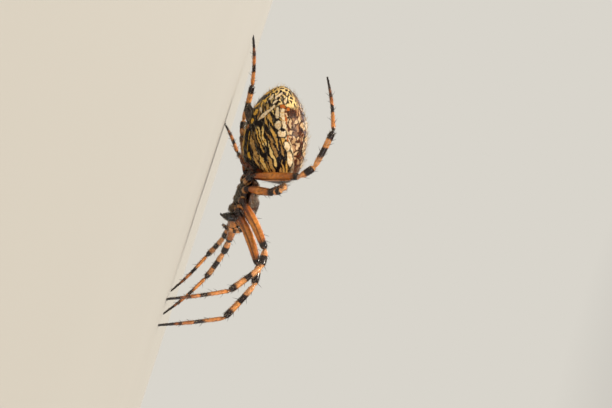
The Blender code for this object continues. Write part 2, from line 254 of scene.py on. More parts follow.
def bodyLine(rows, side=1):
    # points of the body's frame from rows of ahead, out to that side and up
    return [bodyPoint(ahead, side * out, up) for ahead, out, up in rows]


# Abdomen: soft thin skin, satin, with a printed-looking pattern of pigment and pale guanine under it

abdomen = {
    "centre": (-6.0, 0.0, 1.1),  # ahead, left, up in the body's frame, mm
    "pitch": 10.0,  # degrees, rear end down
    "frontLength": 4.1, "rearLength": 5.6, "length": 9.7, "girthRadius": 3.2,
    "halfWidth": 3.22, "halfHeight": 3.2, "frontLift": 0.6, "coatDepth": 0.03, "endTrim": 0.01,
    "creaseAhead": 2.2, "creaseDepth": 0.07, "dimpleDepth": 0.05, "rippleDepth": 0.018,
    "dimples": ((1.6, 0.9), (0.1, 1.15), (-1.5, 1.1), (-2.9, 0.9)),  # ahead and to each side
    "glands": (-1.7, 0.0, -3.05),  # where the silk glands open
    "pleatDepth": 0.035, "pleatGap": 0.3,
    "grid": (160, 120),  # segments round it and rings along it
    "ground": "#120706", "folium": "#2c170e", "rust": "#5e2c15", "tan": "#b98446", "cream": "#d9b47e",
    "white": "#efdcba", "net": "#ffe09a", "yellow": "#f0bc38", "gold": "#dca23a", "orange": "#ba6426",
    "purple": "#1a0a12",
    "streaks": (
        (0.0, "#664622"), (0.25, "#9a7038"), (0.5, "#bd9456"), (0.7, "#cc9a48"), (0.95, "#e4b458"),
        (1.0, "#ecc87c"),
    ),
    "lobes": ((0.0, "#a0714a"), (0.35, "#cba476"), (0.7, "#ecd2a8"), (1.0, "#b4815a")),
    # cells of the pattern, mm long and wide
    "streakCell": (2.8, 0.45), "lobeCell": (0.7, 0.5), "veinCell": (0.42, 0.6), "ovalCell": (0.52, 0.42),
    # how edges wander: noise per mm, and mm of wander for marks and for loose cells
    "wander": ((1.1, 0.5, 0.9), (4.2, 0.34, 0.4), (9.0, 0.12, 0.12)),
    "rearFrom": (7.2, 7.8), "besideLeaf": (2.4, 3.6), "netLow": (6.2, 8.6), "glandField": (0.8, 1.05),
    # lines drawn along the body: shares of its length, and of half its girth down from the middle of the back
    "foliumLine": (
        (0, 0.2), (0.08, 0.3), (0.2, 0.36), (0.3, 0.41), (0.4, 0.455), (0.5, 0.5), (0.62, 0.54),
        (0.74, 0.56), (0.86, 0.54), (1, 0.5),
    ),
    "leafLine": (
        (0.03, 0.0), (0.07, 0.05), (0.12, 0.12), (0.165, 0.075), (0.22, 0.17), (0.28, 0.1), (0.35, 0.205),
        (0.41, 0.115), (0.49, 0.215), (0.55, 0.12), (0.63, 0.2), (0.69, 0.11), (0.77, 0.165), (0.83, 0.085),
        (0.9, 0.1), (0.96, 0.0),
    ),
    "veinLine": ((0.05, 0), (0.15, 0.02), (0.5, 0.022), (0.9, 0.012), (1, 0)),
    "bellyLine": (
        (0, 0.66), (0.1, 0.7), (0.2, 0.79), (0.3, 0.83), (0.42, 0.845), (0.55, 0.83), (0.68, 0.83),
        (0.76, 0.9), (0.84, 1.02), (1, 1.05),
    ),
}
abdomenTurn = Euler((math.radians(-abdomen["pitch"]), 0, 0)).to_matrix().to_4x4()
abdomenPlace = bodyPlace @ Matrix.Translation(bodyPoint(*abdomen["centre"])) @ abdomenTurn

# marks on the unrolled skin, mm: back from the front end, down from the middle of the back, half length,
# half width, turn in degrees
abdomenMarks = {
    "tan": (
        (1.5, 6.6, 0.7, 0.55, 40), (2.1, 7.4, 0.75, 0.3, 35), (4.3, 8.4, 1.0, 0.1, 4),
        (6.9, 8.2, 0.3, 0.5, -30),
    ),
    "rust": ((1.2, 9.2, 0.45, 0.6, 0), (0.9, 7.6, 0.3, 0.5, 10)),
    "cream": (
        (2.6, 3.9, 0.75, 0.3, 25), (3.75, 4.45, 0.5, 0.26, 22), (4.9, 5.15, 0.4, 0.36, 35),
        (5.6, 5.6, 0.45, 0.25, 8), (6.75, 5.85, 0.5, 0.25, 8), (6.5, 7.3, 0.8, 0.23, -42),
        (7.2, 6.6, 0.45, 0.22, -40), (6.85, 8.1, 0.42, 0.15, 48), (8.15, 7.4, 0.55, 0.2, -24),
        (8.5, 6.2, 0.22, 0.7, 30), (8.1, 5.0, 0.4, 0.22, -35), (7.9, 6.4, 0.18, 0.4, 40),
    ),
    "orange": (
        (5.1, 9.25, 0.2, 0.26, 30), (7.4, 5.3, 0.2, 0.4, 5), (4.5, 4.5, 0.3, 0.1, 12),
        (6.2, 4.9, 0.45, 0.1, 8), (7.3, 4.6, 0.2, 0.24, 0),
    ),
    "dark": (
        (5.2, 5.15, 0.13, 0.15, 0), (8.3, 8.6, 0.19, 0.6, 6), (7.95, 9.2, 0.17, 0.6, 0),
        (8.2, 6.1, 0.14, 0.24, 20), (7.7, 7.2, 0.16, 0.4, -30), (7.7, 6.05, 0.11, 0.16, 0),
        (8.1, 5.6, 0.13, 0.17, 0),
    ),
    "yellow": (
        (3.3, 10.05, 1.0, 0.42, 0), (4.4, 10.05, 0.9, 0.3, 0), (2.35, 8.55, 0.36, 0.22, 15),
        (3.3, 8.75, 0.5, 0.07, 4), (4.3, 8.75, 0.45, 0.06, -3), (5.75, 8.8, 0.3, 0.28, 20),
        (6.65, 8.8, 0.36, 0.27, 35), (7.3, 9.5, 0.22, 0.75, 14), (8.65, 9.6, 0.18, 1.3, 6),
    ),
}


def paintAbdomen(tree):
    # the pattern's colour, worked out from where a point lies along and around the abdomen
    local = addNode(tree, "Mapping", {
        "Vector": addNode(tree, "TexCoord", take="Object"), "Location": abdomenPlace.translation * mm,
        "Rotation": abdomenPlace.to_euler(), "Scale": (mm, mm, mm),
    }, vector_type="TEXTURE")
    aside, rearward, high = addNode(tree, "SeparateXYZ", (local,)).node.outputs
    back = addNode(tree, "Math", (rearward, abdomen["frontLength"]), operation="ADD")
    front = addNode(
        tree, "Math", (rearward, -1 / abdomen["frontLength"]), operation="MULTIPLY", use_clamp=True
    )
    lift = addNode(tree, "Math", (front, 4.0), operation="POWER")
    up = addNode(tree, "Math", (lift, -abdomen["frontLift"], high), operation="MULTIPLY_ADD")
    out = addNode(tree, "Math", (aside,), operation="ABSOLUTE")
    angle = addNode(tree, "Math", (out, up), operation="ARCTAN2")
    around = addNode(tree, "Math", (angle, abdomen["girthRadius"]), operation="MULTIPLY")

    # pigment has no ruled edges: they wander, and those of the loose cells wander more
    drawn = loose = addNode(tree, "CombineXYZ", (back, around))
    for scale, near, far in abdomen["wander"]:
        noise = addNode(tree, "TexNoise", {"Vector": local, "Scale": scale, "Detail": 2.0}, "Color")
        noise = addNode(tree, "VectorMath", (noise, (0.5, 0.5, 0.5)), operation="SUBTRACT")
        drawn = addNode(tree, "VectorMath", (noise, (near,) * 3, drawn), operation="MULTIPLY_ADD")
        loose = addNode(tree, "VectorMath", (noise, (far,) * 3, loose), operation="MULTIPLY_ADD")

    def nearestMark(name):
        # 0 in the middle of a mark of that name, 1 on its edge, more outside
        nearest = 9.0
        for backMiddle, downMiddle, long, wide, turn in abdomenMarks[name]:
            inMark = addNode(tree, "Mapping", {
                "Vector": drawn, "Location": (backMiddle, downMiddle, 0),
                "Rotation": (0, 0, math.radians(turn)), "Scale": (long, wide, 1),
            }, vector_type="TEXTURE")
            distance = addNode(tree, "VectorMath", (inMark,), "Value", operation="LENGTH")
            nearest = addNode(tree, "Math", (nearest, distance), operation="MINIMUM")
        return nearest

    def aboveLine(name, soft, lower=0.0):
        # 1 above the line of that name, 0 below; soft is the edge's width in mm, lower moves the line down
        along, down, _ = addNode(tree, "SeparateXYZ", (drawn,)).node.outputs
        share = addNode(tree, "Math", (along, 1 / abdomen["length"]), operation="MULTIPLY")
        line = addNode(tree, "FloatCurve", {"Value": share})
        setCurve(line.node, [(x, y + lower) for x, y in abdomen[name]])
        gap = addNode(tree, "Math", (line, math.pi * abdomen["girthRadius"]), operation="MULTIPLY")
        gap = addNode(tree, "Math", (gap, down), operation="SUBTRACT")
        return addNode(tree, "MapRange", (gap, 0.0, soft), interpolation_type="SMOOTHSTEP")

    def cells(place, name):
        # cells of that name's size: how deep a point lies in its cell, and the cell's own two numbers
        long, wide = abdomen[name]
        place = addNode(tree, "Mapping", {"Vector": place, "Scale": (1 / long, 1 / wide, 1)})
        inputs = {"Vector": place, "Scale": 1.0, "Randomness": 0.95}
        deep = addNode(
            tree, "TexVoronoi", inputs, "Distance", feature="DISTANCE_TO_EDGE", voronoi_dimensions="2D"
        )
        tag = addNode(tree, "TexVoronoi", inputs, "Color", voronoi_dimensions="2D")
        return deep, *addNode(tree, "SeparateColor", (tag,)).node.outputs[:2]

    tint = {name: linearColour(code) for name, code in abdomen.items() if isinstance(code, str)}
    cloud = addNode(tree, "TexNoise", {"Vector": local, "Scale": 2.4, "Detail": 4.0})
    cloud = addNode(tree, "MapRange", (cloud, 0.38, 0.62))
    mottle = addNode(tree, "TexNoise", {"Vector": local, "Scale": 4.2, "Detail": 3.0, "Roughness": 0.6})
    mottle = addNode(tree, "MapRange", (mottle, 0.42, 0.62))
    paleCuticle = addNode(tree, "Mix", {0: mottle, 6: tint["white"], 7: tint["cream"]}, 2, data_type="RGBA")

    # flanks: streaks pointed at both ends, close together on black, running back and down
    along, down, _ = addNode(tree, "SeparateXYZ", (drawn,)).node.outputs
    steepness = addNode(tree, "Math", (along, 0.025, 0.36), operation="MULTIPLY_ADD")
    fall = addNode(tree, "Math", (along, steepness), operation="MULTIPLY")
    across = addNode(tree, "Math", (down, fall), operation="SUBTRACT")
    depth, number, order = cells(addNode(tree, "CombineXYZ", (along, across)), "streakCell")
    tanReach = nearestMark("tan")
    tanShare = addNode(tree, "MapRange", (tanReach, 0.7, 1.2, 1.0, 0.0), interpolation_type="SMOOTHSTEP")
    depth = addNode(tree, "Math", (tanShare, 0.1, depth), operation="MULTIPLY_ADD")
    streaks = addNode(tree, "MapRange", (depth, 0.15, 0.22), interpolation_type="SMOOTHSTEP")
    streaksShown = addNode(tree, "MapRange", (order, 0.06, 0.08))
    tone = addNode(tree, "Math", (cloud, 0.35, number), operation="MULTIPLY_ADD")
    streakTint = addNode(tree, "ValToRGB", (tone,))
    setRamp(streakTint.node, abdomen["streaks"])

    # the back: pale lobes ringed with dark brown, fewer towards the front
    folium = aboveLine("foliumLine", 0.15)
    lobeDepth, lobeNumber, lobeOrder = cells(loose, "lobeCell")
    lobes = addNode(tree, "MapRange", (lobeDepth, 0.1, 0.22), interpolation_type="SMOOTHSTEP")
    lobesShown = addNode(tree, "MapRange", (lobeOrder, 0.24, 0.28))
    field = addNode(tree, "Mix", {0: cloud, 6: tint["folium"], 7: tint["rust"]}, 2, data_type="RGBA")
    lobeTint = addNode(tree, "ValToRGB", (lobeNumber,))
    setRamp(lobeTint.node, abdomen["lobes"])
    higherFolium = aboveLine("foliumLine", 0.2, -0.045)
    fringe = addNode(tree, "Math", (folium, higherFolium), operation="SUBTRACT", use_clamp=True)
    behindFront = addNode(tree, "MapRange", (back, 1.4, 3.0, 0.2, 1.0), interpolation_type="SMOOTHSTEP")

    # the pale oak leaf down the middle of the back, edged with black, netted with thin tan veins
    leafEdge = aboveLine("leafLine", 0.15, 0.03)
    leaf = aboveLine("leafLine", 0.15)
    midVein = aboveLine("veinLine", 0.15)
    veinDepth = cells(loose, "veinCell")[0]
    veins = addNode(tree, "MapRange", (veinDepth, 0.04, 0.16, 0.75, 0.0), interpolation_type="SMOOTHSTEP")
    clouded = addNode(tree, "MapRange", (cloud, 0.3, 1.0, 0.0, 0.5))
    shaded = addNode(tree, "Math", (clouded, veins), operation="MAXIMUM")

    # the rear: a cream and yellow net with dark ovals in it, longer away from the tip
    rear = addNode(tree, "MapRange", (along, *abdomen["rearFrom"]), interpolation_type="SMOOTHSTEP")
    besideLeaf = addNode(tree, "MapRange", (around, *abdomen["besideLeaf"]), interpolation_type="SMOOTHSTEP")
    tip = addNode(tree, "CombineXYZ", (out, high))
    tipNoise = addNode(tree, "TexNoise", {"Vector": local, "Scale": 1.6, "Detail": 2.0}, "Color")
    tip = addNode(tree, "VectorMath", (tipNoise, (0.7, 0.7, 0.0), tip), operation="MULTIPLY_ADD")
    ovalDepth = cells(tip, "ovalCell")[0]
    ovals = addNode(tree, "MapRange", (ovalDepth, 0.12, 0.2), interpolation_type="SMOOTHSTEP")
    lower = addNode(tree, "MapRange", (around, *abdomen["netLow"]), interpolation_type="SMOOTHSTEP")
    netTint = addNode(tree, "Mix", {0: lower, 6: tint["net"], 7: tint["yellow"]}, 2, data_type="RGBA")
    faded = addNode(tree, "MapRange", (cloud, 0.4, 1.0, 0.0, 0.4))
    netTint = addNode(tree, "Mix", {0: faded, 6: netTint, 7: tint["tan"]}, 2, data_type="RGBA")

    belly = aboveLine("bellyLine", 0.12)
    underside = addNode(tree, "Math", (1.0, belly), operation="SUBTRACT")
    glands = bodyPoint(*abdomen["glands"])
    glands = addNode(tree, "VectorMath", (local, glands), "Value", operation="DISTANCE")
    glandField = addNode(
        tree, "MapRange", (glands, *abdomen["glandField"], 1.0, 0.0), interpolation_type="SMOOTHSTEP"
    )
    frontTip = addNode(tree, "MapRange", (lift, 0.6, 0.85), interpolation_type="SMOOTHSTEP")

    # each layer lies over those before it: the masks that together say where it shows, and its colour
    layers = [
        ((tanShare,), tint["folium"]), ((streaks, streaksShown), streakTint),
        ((folium,), field), ((folium, lobes, lobesShown, behindFront), lobeTint),
        ((fringe, behindFront), paleCuticle),
        ((leafEdge,), tint["ground"]), ((leaf,), paleCuticle), ((leaf, shaded), tint["tan"]),
        ((leaf, midVein), tint["rust"]),
        ((rear, besideLeaf), netTint), ((rear, besideLeaf, ovals), tint["purple"]),
        ((underside,), tint["ground"]), ((glandField,), tint["ground"]), ((frontTip,), field),
    ]
    golden = addNode(tree, "Mix", {0: mottle, 6: tint["yellow"], 7: tint["gold"]}, 2, data_type="RGBA")
    for name, rim, colour in (
        ("rust", 1.3, tint["rust"]), ("cream", 1.5, paleCuticle), ("orange", 1.3, tint["orange"]),
        ("dark", 1.25, tint["purple"]), ("yellow", 1.5, golden),
    ):
        reach = nearestMark(name)
        for nearEdge, farEdge, paint in ((1.2, rim, tint["ground"]), (0.8, 1.14, colour)):
            limits = (reach, nearEdge, farEdge, 1.0, 0.0)
            layers.append(((addNode(tree, "MapRange", limits, interpolation_type="SMOOTHSTEP"),), paint))
    colour = tint["ground"]
    for masks, paint in layers:
        share = masks[0]
        for mask in masks[1:]:
            share = addNode(tree, "Math", (share, mask), operation="MULTIPLY")
        colour = addNode(tree, "Mix", {0: share, 6: colour, 7: paint}, 2, data_type="RGBA")
    speck = addNode(tree, "TexNoise", {"Vector": local, "Scale": 14.0, "Detail": 2.0})
    speck = addNode(tree, "MapRange", (speck, 0.3, 0.7, 0.72, 1.15))
    return addNode(tree, "VectorMath", {0: colour, "Scale": speck}, operation="SCALE"), local


def abdomenShape(along, side, top):
    if along > 0:
        girth = max(0.0, 1 - along**2.5) ** (1 / 2.4)
        ahead = abdomen["frontLength"] * along
    else:
        girth = max(0.0, 1 - along**2) ** 0.6
        ahead = abdomen["rearLength"] * along
    lift = abdomen["frontLift"] * max(0.0, along) ** 4
    halfWidth, halfHeight = abdomen["halfWidth"] * girth, abdomen["halfHeight"] * girth
    # a crease across the belly behind the front, paired dimples above, and shallow ripples all over
    crease = abdomen["creaseDepth"] * bell(ahead, abdomen["creaseAhead"], 0.22) * smoothStep(0.3, 0.9, -top)
    dimple = 0.0
    for dimpleAhead, dimpleOut in abdomen["dimples"] if top > 0 else ():
        beside = bell(abs(side) * halfWidth, dimpleOut, 0.2)
        dimple += abdomen["dimpleDepth"] * bell(ahead, dimpleAhead, 0.22) * beside
    swing = 2.2 * math.sin(3 * math.atan2(side, top))
    ripple = abdomen["rippleDepth"] * (1 + math.sin(ahead * 5.5 + swing) * girth)
    # fine pleats ring the silk glands
    glandAhead, _, glandUp = abdomen["glands"]
    fromGlands = math.dist((ahead, halfWidth * side, halfHeight * top), (glandAhead, 0, glandUp))
    pleats = abdomen["pleatDepth"] * math.cos(fromGlands * 2 * math.pi / abdomen["pleatGap"])
    pleats *= 1 - smoothStep(0.7, 1.25, fromGlands)
    inset = (abdomen["coatDepth"] + crease + dimple + ripple + pleats) * girth
    return ahead * (1 - abdomen["endTrim"]), (halfWidth - inset) * side, (halfHeight - inset) * top + lift


def makeAbdomenSkin():
    # cuticle over guanine: cream and yellow under a clear skin, satin, with fine pores that break the gloss
    material, tree = newMaterial("abdomenCuticle", {
        "IOR": 1.5, "Specular IOR Level": 0.14,
        "Subsurface Weight": 0.05, "Subsurface Radius": (0.2 * mm, 0.1 * mm, 0.05 * mm),
    })
    colour, local = paintAbdomen(tree)
    pores = addNode(tree, "TexVoronoi", {"Vector": local, "Scale": 7.0, "Randomness": 1.0}, "Distance")
    pores = addNode(tree, "MapRange", (pores, 0.05, 0.45))
    wrinkle = addNode(tree, "TexNoise", {"Vector": local, "Scale": 5.0, "Detail": 5.0, "Roughness": 0.65})
    relief = addNode(tree, "Math", (pores, 0.35, wrinkle), operation="MULTIPLY_ADD")
    bump = addNode(tree, "Bump", {"Height": relief, "Strength": 0.55, "Distance": 0.05 * mm})
    gloss = addNode(tree, "MapRange", (wrinkle, 0.3, 0.7, 0.24, 0.42))
    return plugIn(material, {"Base Color": colour, "Normal": bump, "Roughness": gloss})


abdomenSkin = finishPiece(
    "abdomenSkin", shapedBall(*abdomen["grid"], abdomenShape), makeAbdomenSkin(),
    ["abdomen"], abdomenPlace,
)
print("abdomen made")


# Legs: amber cuticle, clear enough to glow, with dark rings

legs = {
    "lengths": {  # coxa with trochanter, femur, patella, tibia, foot, mm
        1: (1.25, 5.3, 2.0, 4.1, 6.0), 2: (1.25, 5.0, 1.9, 3.8, 5.6),
        3: (1.20, 3.6, 1.3, 2.5, 3.6), 4: (1.25, 5.2, 1.7, 3.8, 5.3),
    },
    "radii": (0.47, 0.49, 0.39, 0.345, 0.25), "leastRadius": 0.25,
    "girth": {1: 1.0, 2: 0.98, 3: 0.86, 4: 0.95},
    "rootAngles": {1: 40, 2: 74, 3: 108, 4: 141}, "coxaTurns": {1: 54, 2: 76, 3: 106, 4: 138},
    "rootEllipse": (1.42, 1.08), "rootHeight": -0.56, "coxaRise": 8,
    "poses": {  # turn outwards from ahead and rise, in degrees; a foot with no rise ends on the floor
        ("right", 1): {"femur": (20, 36), "shin": (15, -26), "foot": (7, None)},
        ("right", 2): {"femur": (27, 39), "shin": (30, -36), "foot": (20, None)},
        ("right", 3): {"femur": (97, 37), "patella": (130, 38), "shin": (262, 2), "foot": (284, -16)},
        ("right", 4): {"femur": (116, 54), "shin": (169, 8), "foot": (198, -21)},
        ("left", 1): {"femur": (49, 7), "shin": (31, -13), "foot": (-18, None)},
        ("left", 2): {"femur": (50, 4), "shin": (43, -16), "foot": (-14, None)},
        ("left", 3): {"femur": (114, 14), "shin": (134, -45), "foot": (208, None)},
        ("left", 4): {"femur": (140, -17), "shin": (194, -4), "foot": (212, None)},
    },
    # how far each length starts and ends from its joint, in its largest radii, before a bend
    "ends": (0.6, 0.58, 0.62, 0.64, 0.85), "farEnds": (0.62, 0.58, 0.66, 0.68, 1.0),
    "bows": (0, 0.035, 0.02, 0.012, 0.03), "seam": 0.05,
    "footJoint": 0.685,  # share along the foot where its two lengths meet
    "rings": (10, 26, 14, 22, 34), "ringSegments": 28,
    # line is the colour of the dark lines down the legs: partly stripes, partly painted edge shade
    "line": "#2c120c", "blotch": "#160d10",
    # station, colour; a station is the length's number plus the share along it, with the foot's joint at 5
    "bands": (
        (0.0, "#1c100d"), (0.26, "#cc9a62"), (0.6, "#aa7040"), (0.76, "#3a1f17"), (1.03, "#1a0f10"),
        (1.15, "#a4561f"), (1.45, "#cf8438"), (1.8, "#b26522"), (1.9, "#160a0a"), (1.98, "#1a0c0b"),
        (2.03, "#dda070"), (2.33, "#d48c50"), (2.4, "#220f0d"), (2.9, "#1b0b0a"), (2.97, "#d6965c"),
        (3.24, "#dd9c66"), (3.3, "#220f0d"), (3.5, "#1b0b0a"), (3.56, "#d8904e"), (3.74, "#da965a"),
        (3.8, "#220f0d"), (4.0, "#170a09"), (4.06, "#d0823e"), (4.4, "#d48a4a"), (4.46, "#200f0e"),
        (4.62, "#200f0e"), (4.68, "#d08040"), (4.86, "#ae652e"), (4.92, "#1a0c0b"), (5.12, "#96552a"),
        (5.3, "#1a0c0b"), (5.99, "#0e0909"),
    ),
    "lastStation": 6,
}
segmentNames = ("coxa", "femur", "patella", "tibia", "foot")
# the skin's thickness along each length: share of the way, share of its largest radius
skinProfiles = (
    (
        (0, 0.5), (0.08, 0.68), (0.2, 0.8), (0.42, 0.93), (0.56, 0.92), (0.64, 0.74), (0.68, 0.7),
        (0.74, 0.8), (0.88, 0.78), (1, 0.52),
    ),
    (
        (0, 0.5), (0.03, 0.62), (0.08, 0.75), (0.2, 0.88), (0.42, 0.95), (0.7, 0.87), (0.88, 0.755),
        (0.94, 0.77), (0.98, 0.68), (1, 0.5),
    ),
    ((0, 0.5), (0.05, 0.68), (0.15, 0.82), (0.4, 0.92), (0.7, 0.95), (0.88, 0.91), (0.95, 0.78), (1, 0.52)),
    (
        (0, 0.5), (0.03, 0.66), (0.08, 0.81), (0.2, 0.8), (0.5, 0.82), (0.8, 0.87), (0.92, 0.93),
        (0.97, 0.82), (1, 0.52),
    ),
    (
        (0, 0.56), (0.02, 0.74), (0.05, 0.8), (0.2, 0.72), (0.45, 0.66), (0.62, 0.66), (0.665, 0.68),
        (0.685, 0.5), (0.705, 0.55), (0.76, 0.53), (0.9, 0.46), (0.97, 0.4), (1, 0.34),
    ),
)


def heading(side, turn, rise):
    turn, rise = math.radians(turn), math.radians(rise)
    return Vector((
        side * math.sin(turn) * math.cos(rise), -math.cos(turn) * math.cos(rise), math.sin(rise)
    ))


def legJoints(sideName, number):
    # the six ends of a leg's five lengths, in the model's frame
    side, lengths = sides[sideName], legs["lengths"][number]
    turn = math.radians(legs["rootAngles"][number])
    long, wide = legs["rootEllipse"]
    root = bodyPoint(long * math.cos(turn), side * wide * math.sin(turn), legs["rootHeight"])
    pose = legs["poses"][sideName, number]
    coxa = bodyTurn @ heading(side, legs["coxaTurns"][number], legs["coxaRise"])
    thigh, shin = heading(side, *pose["femur"]), heading(side, *pose["shin"])
    knee = heading(side, *pose["patella"]) if "patella" in pose else (thigh + shin).normalized()
    joints = [bodyPlace @ root]
    for way, length in zip((coxa, thigh, knee, shin), lengths):
        joints.append(joints[-1] + way * length)
    footTurn, footRise = pose["foot"]
    if footRise is None:
        footRise = -math.degrees(math.asin(min(1.0, joints[-1].z / lengths[-1])))
    joints.append(joints[-1] + heading(side, footTurn, footRise) * lengths[-1])
    return joints


def legLine(sideName, number):
    # centres, radii and stations down one leg
    joints = legJoints(sideName, number)
    ways = [(b - a).normalized() for a, b in zip(joints, joints[1:])]
    onFloor = legs["poses"][sideName, number]["foot"][1] is None
    points, radii, stations = [], [], []
    for i, (knots, count) in enumerate(zip(skinProfiles, legs["rings"])):
        largest = max(legs["leastRadius"], legs["radii"][i] * legs["girth"][number])
        start, end = joints[i], joints[i + 1]
        if i:
            gap = largest * legs["ends"][i] * math.tan(ways[i - 1].angle(ways[i]) / 2)
            start = start + ways[i] * (legs["seam"] / 2 + gap)
        if i < 4:
            gap = largest * legs["farEnds"][i] * math.tan(ways[i].angle(ways[i + 1]) / 2)
            end = end - ways[i] * (legs["seam"] / 2 + gap)
        run = end - start
        up = Vector((0, 0, 1)) - run.normalized() * run.normalized().z
        if i:  # round the bend to here on a smooth arc
            before, bendRadius = points[-1], min(radii[-1], largest * knots[0][1])
            tight = 1 - 0.3 * min(1.0, ways[i - 1].angle(ways[i]) / 2)
            for share, thinned in ((0.25, 0.92), (0.5, 0.88), (0.75, 0.92)):
                points.append(
                    before * (1 - share) ** 2 + joints[i] * 2 * share * (1 - share) + start * share**2
                )
                radii.append(bendRadius * thinned * tight)
                stations.append(i + (share - 0.5) * 0.01)
        for step in range(count):
            # rings lie closer together towards both ends of a length
            even = step / (count - 1)
            share = (1 - math.cos(math.pi * even)) / 2 * 0.6 + even * 0.4
            radius = largest * float(np.interp(share, *zip(*knots)))
            if i == 4 and not onFloor:
                radius *= 1 - 0.1 * share
            points.append(start + run * share + up * legs["bows"][i] * run.length * math.sin(math.pi * share))
            radii.append(radius)
            if i < 4:
                stations.append(i + 0.01 + 0.98 * share)
            elif share < legs["footJoint"]:
                stations.append(4.01 + share / legs["footJoint"] * 0.98)
            else:
                stations.append(5 + (share - legs["footJoint"]) / (1 - legs["footJoint"]))
    for _ in range(2):  # ease the thickness so no ring shows a step
        eased = [(a + 2 * b + c) / 4 for a, b, c in zip(radii, radii[1:], radii[2:])]
        radii = [radii[0], *eased, radii[-1]]
    return roundEnds(points, radii, stations)


def legBands(tree, coords):
    # the colour down a leg; the rings wander a little, as pigment does
    station = addNode(tree, "Attribute", take="Fac", attribute_name="station")
    wander = addNode(tree, "TexNoise", {"Vector": coords, "Scale": 1.4 / mm, "Detail": 3.0})
    wander = addNode(tree, "Math", (wander, 0.3, -0.15), operation="MULTIPLY_ADD")
    moved = addNode(tree, "Math", (station, wander), operation="ADD")
    share = addNode(tree, "Math", (moved, 1 / legs["lastStation"]), operation="MULTIPLY")
    ramp = addNode(tree, "ValToRGB", (share,))
    setRamp(ramp.node, [(place / legs["lastStation"], code) for place, code in legs["bands"]])
    return ramp


def makeLegSkin():
    # tanned cuticle, thin over clear blood: amber with a soft inner glow, waxy, with fine lengthwise grain
    material, tree = newMaterial("amberCuticle", {
        "IOR": 1.52, "Subsurface Weight": 0.2, "Subsurface Radius": (0.35 * mm, 0.14 * mm, 0.05 * mm),
    })
    coords = addNode(tree, "TexCoord", take="Object")
    cloudy = addNode(tree, "TexNoise", {"Vector": coords, "Scale": 3.5 / mm, "Detail": 4.0, "Roughness": 0.6})
    shade = addNode(tree, "MapRange", (cloudy, 0.3, 0.7, 0.6, 1.3))
    colour = addNode(tree, "VectorMath", {0: legBands(tree, coords), "Scale": shade}, operation="SCALE")
    chart = addNode(tree, "UVMap", uv_map="UVMap")
    # three dark lines down each length, 120 degrees apart, broken here and there and faint past the knee;
    # they are partly the cuticle's own stripes and partly painted shade for the darker outline of the clear
    # leg
    turn = addNode(tree, "SeparateXYZ", (chart,))
    wave = addNode(tree, "Math", (turn, 6 * math.pi), operation="MULTIPLY")
    wave = addNode(tree, "Math", (wave,), operation="SINE")
    streaks = addNode(tree, "Mapping", {"Vector": chart, "Scale": (9.0, 5.0, 1.0)})
    streaks = addNode(tree, "TexNoise", {"Vector": streaks, "Scale": 1.0, "Detail": 3.0})
    stripesAndEdgeShade = addNode(tree, "Math", (wave, 0.17, streaks), operation="MULTIPLY_ADD")
    stripesAndEdgeShade = addNode(tree, "MapRange", (stripesAndEdgeShade, 0.59, 0.72), interpolation_type="SMOOTHSTEP")
    station = addNode(tree, "Attribute", take="Fac", attribute_name="station")
    onFemora = addNode(tree, "MapRange", (station, 2.0, 2.3, 0.75, 0.3))
    stripesAndEdgeShade = addNode(tree, "Math", (stripesAndEdgeShade, onFemora), operation="MULTIPLY")
    colour = addNode(tree, "Mix", {0: stripesAndEdgeShade, 6: colour, 7: linearColour(legs["line"])}, 2, data_type="RGBA")
    # black blotches 0.4 mm across on the leg roots
    blotch = addNode(tree, "TexNoise", {"Vector": coords, "Scale": 2.4 / mm, "Detail": 3.0, "Roughness": 0.6})
    blotch = addNode(tree, "MapRange", (blotch, 0.53, 0.58))
    onRoots = addNode(tree, "MapRange", (station, 0.95, 1.2, 0.9, 0.0))
    blotch = addNode(tree, "Math", (blotch, onRoots), operation="MULTIPLY")
    black = linearColour(legs["blotch"])
    colour = addNode(tree, "Mix", {0: blotch, 6: colour, 7: black}, 2, data_type="RGBA")
    grain = addNode(tree, "Mapping", {"Vector": chart, "Scale": (60.0, 50.0, 1.0)})
    grain = addNode(tree, "TexNoise", {"Vector": grain, "Scale": 1.0, "Detail": 2.0})
    bump = addNode(tree, "Bump", {"Height": grain, "Strength": 0.3, "Distance": 0.02 * mm})
    gloss = addNode(tree, "MapRange", (cloudy, 0.3, 0.7, 0.14, 0.26))
    return plugIn(material, {"Base Color": colour, "Normal": bump, "Roughness": gloss})


legSkin = makeLegSkin()
legRings = {}
for sideName, number in legs["poses"]:
    rings = sweepLine(*legLine(sideName, number))
    legRings[sideName, number] = rings
    tube = rollTube(rings, legs["ringSegments"])
    for vertex in tube.verts:
        vertex.co.z = max(0.0, vertex.co.z)
    finishPiece(
        f"leg{number}{sideName.capitalize()}", tube, legSkin,
        [f"leg{number}_{sideName}_{segment}" for segment in segmentNames], Matrix.Identity(4),
    )
print("legs made")


# Front body: glossy dark shield, breastplate, jaws and mouth

shield = {
    "rear": -1.95, "front": 2.6, "thoraxHalfWidth": 1.95, "headHalfWidth": 1.12,
    "thoraxHeight": 1.2, "headHeight": 1.5, "base": 0.06, "inset": 0.02,
    # middle, half length and squareness of the two domes, in half lengths of the shield
    "thoraxDome": (-0.22, 0.8, 2.2), "headDome": (0.36, 0.655, 4.5),
    "pitDepth": 0.16, "furrowDepth": 0.035, "furrows": 7.4, "neckDepth": 0.07,
    "grid": (96, 96),
}


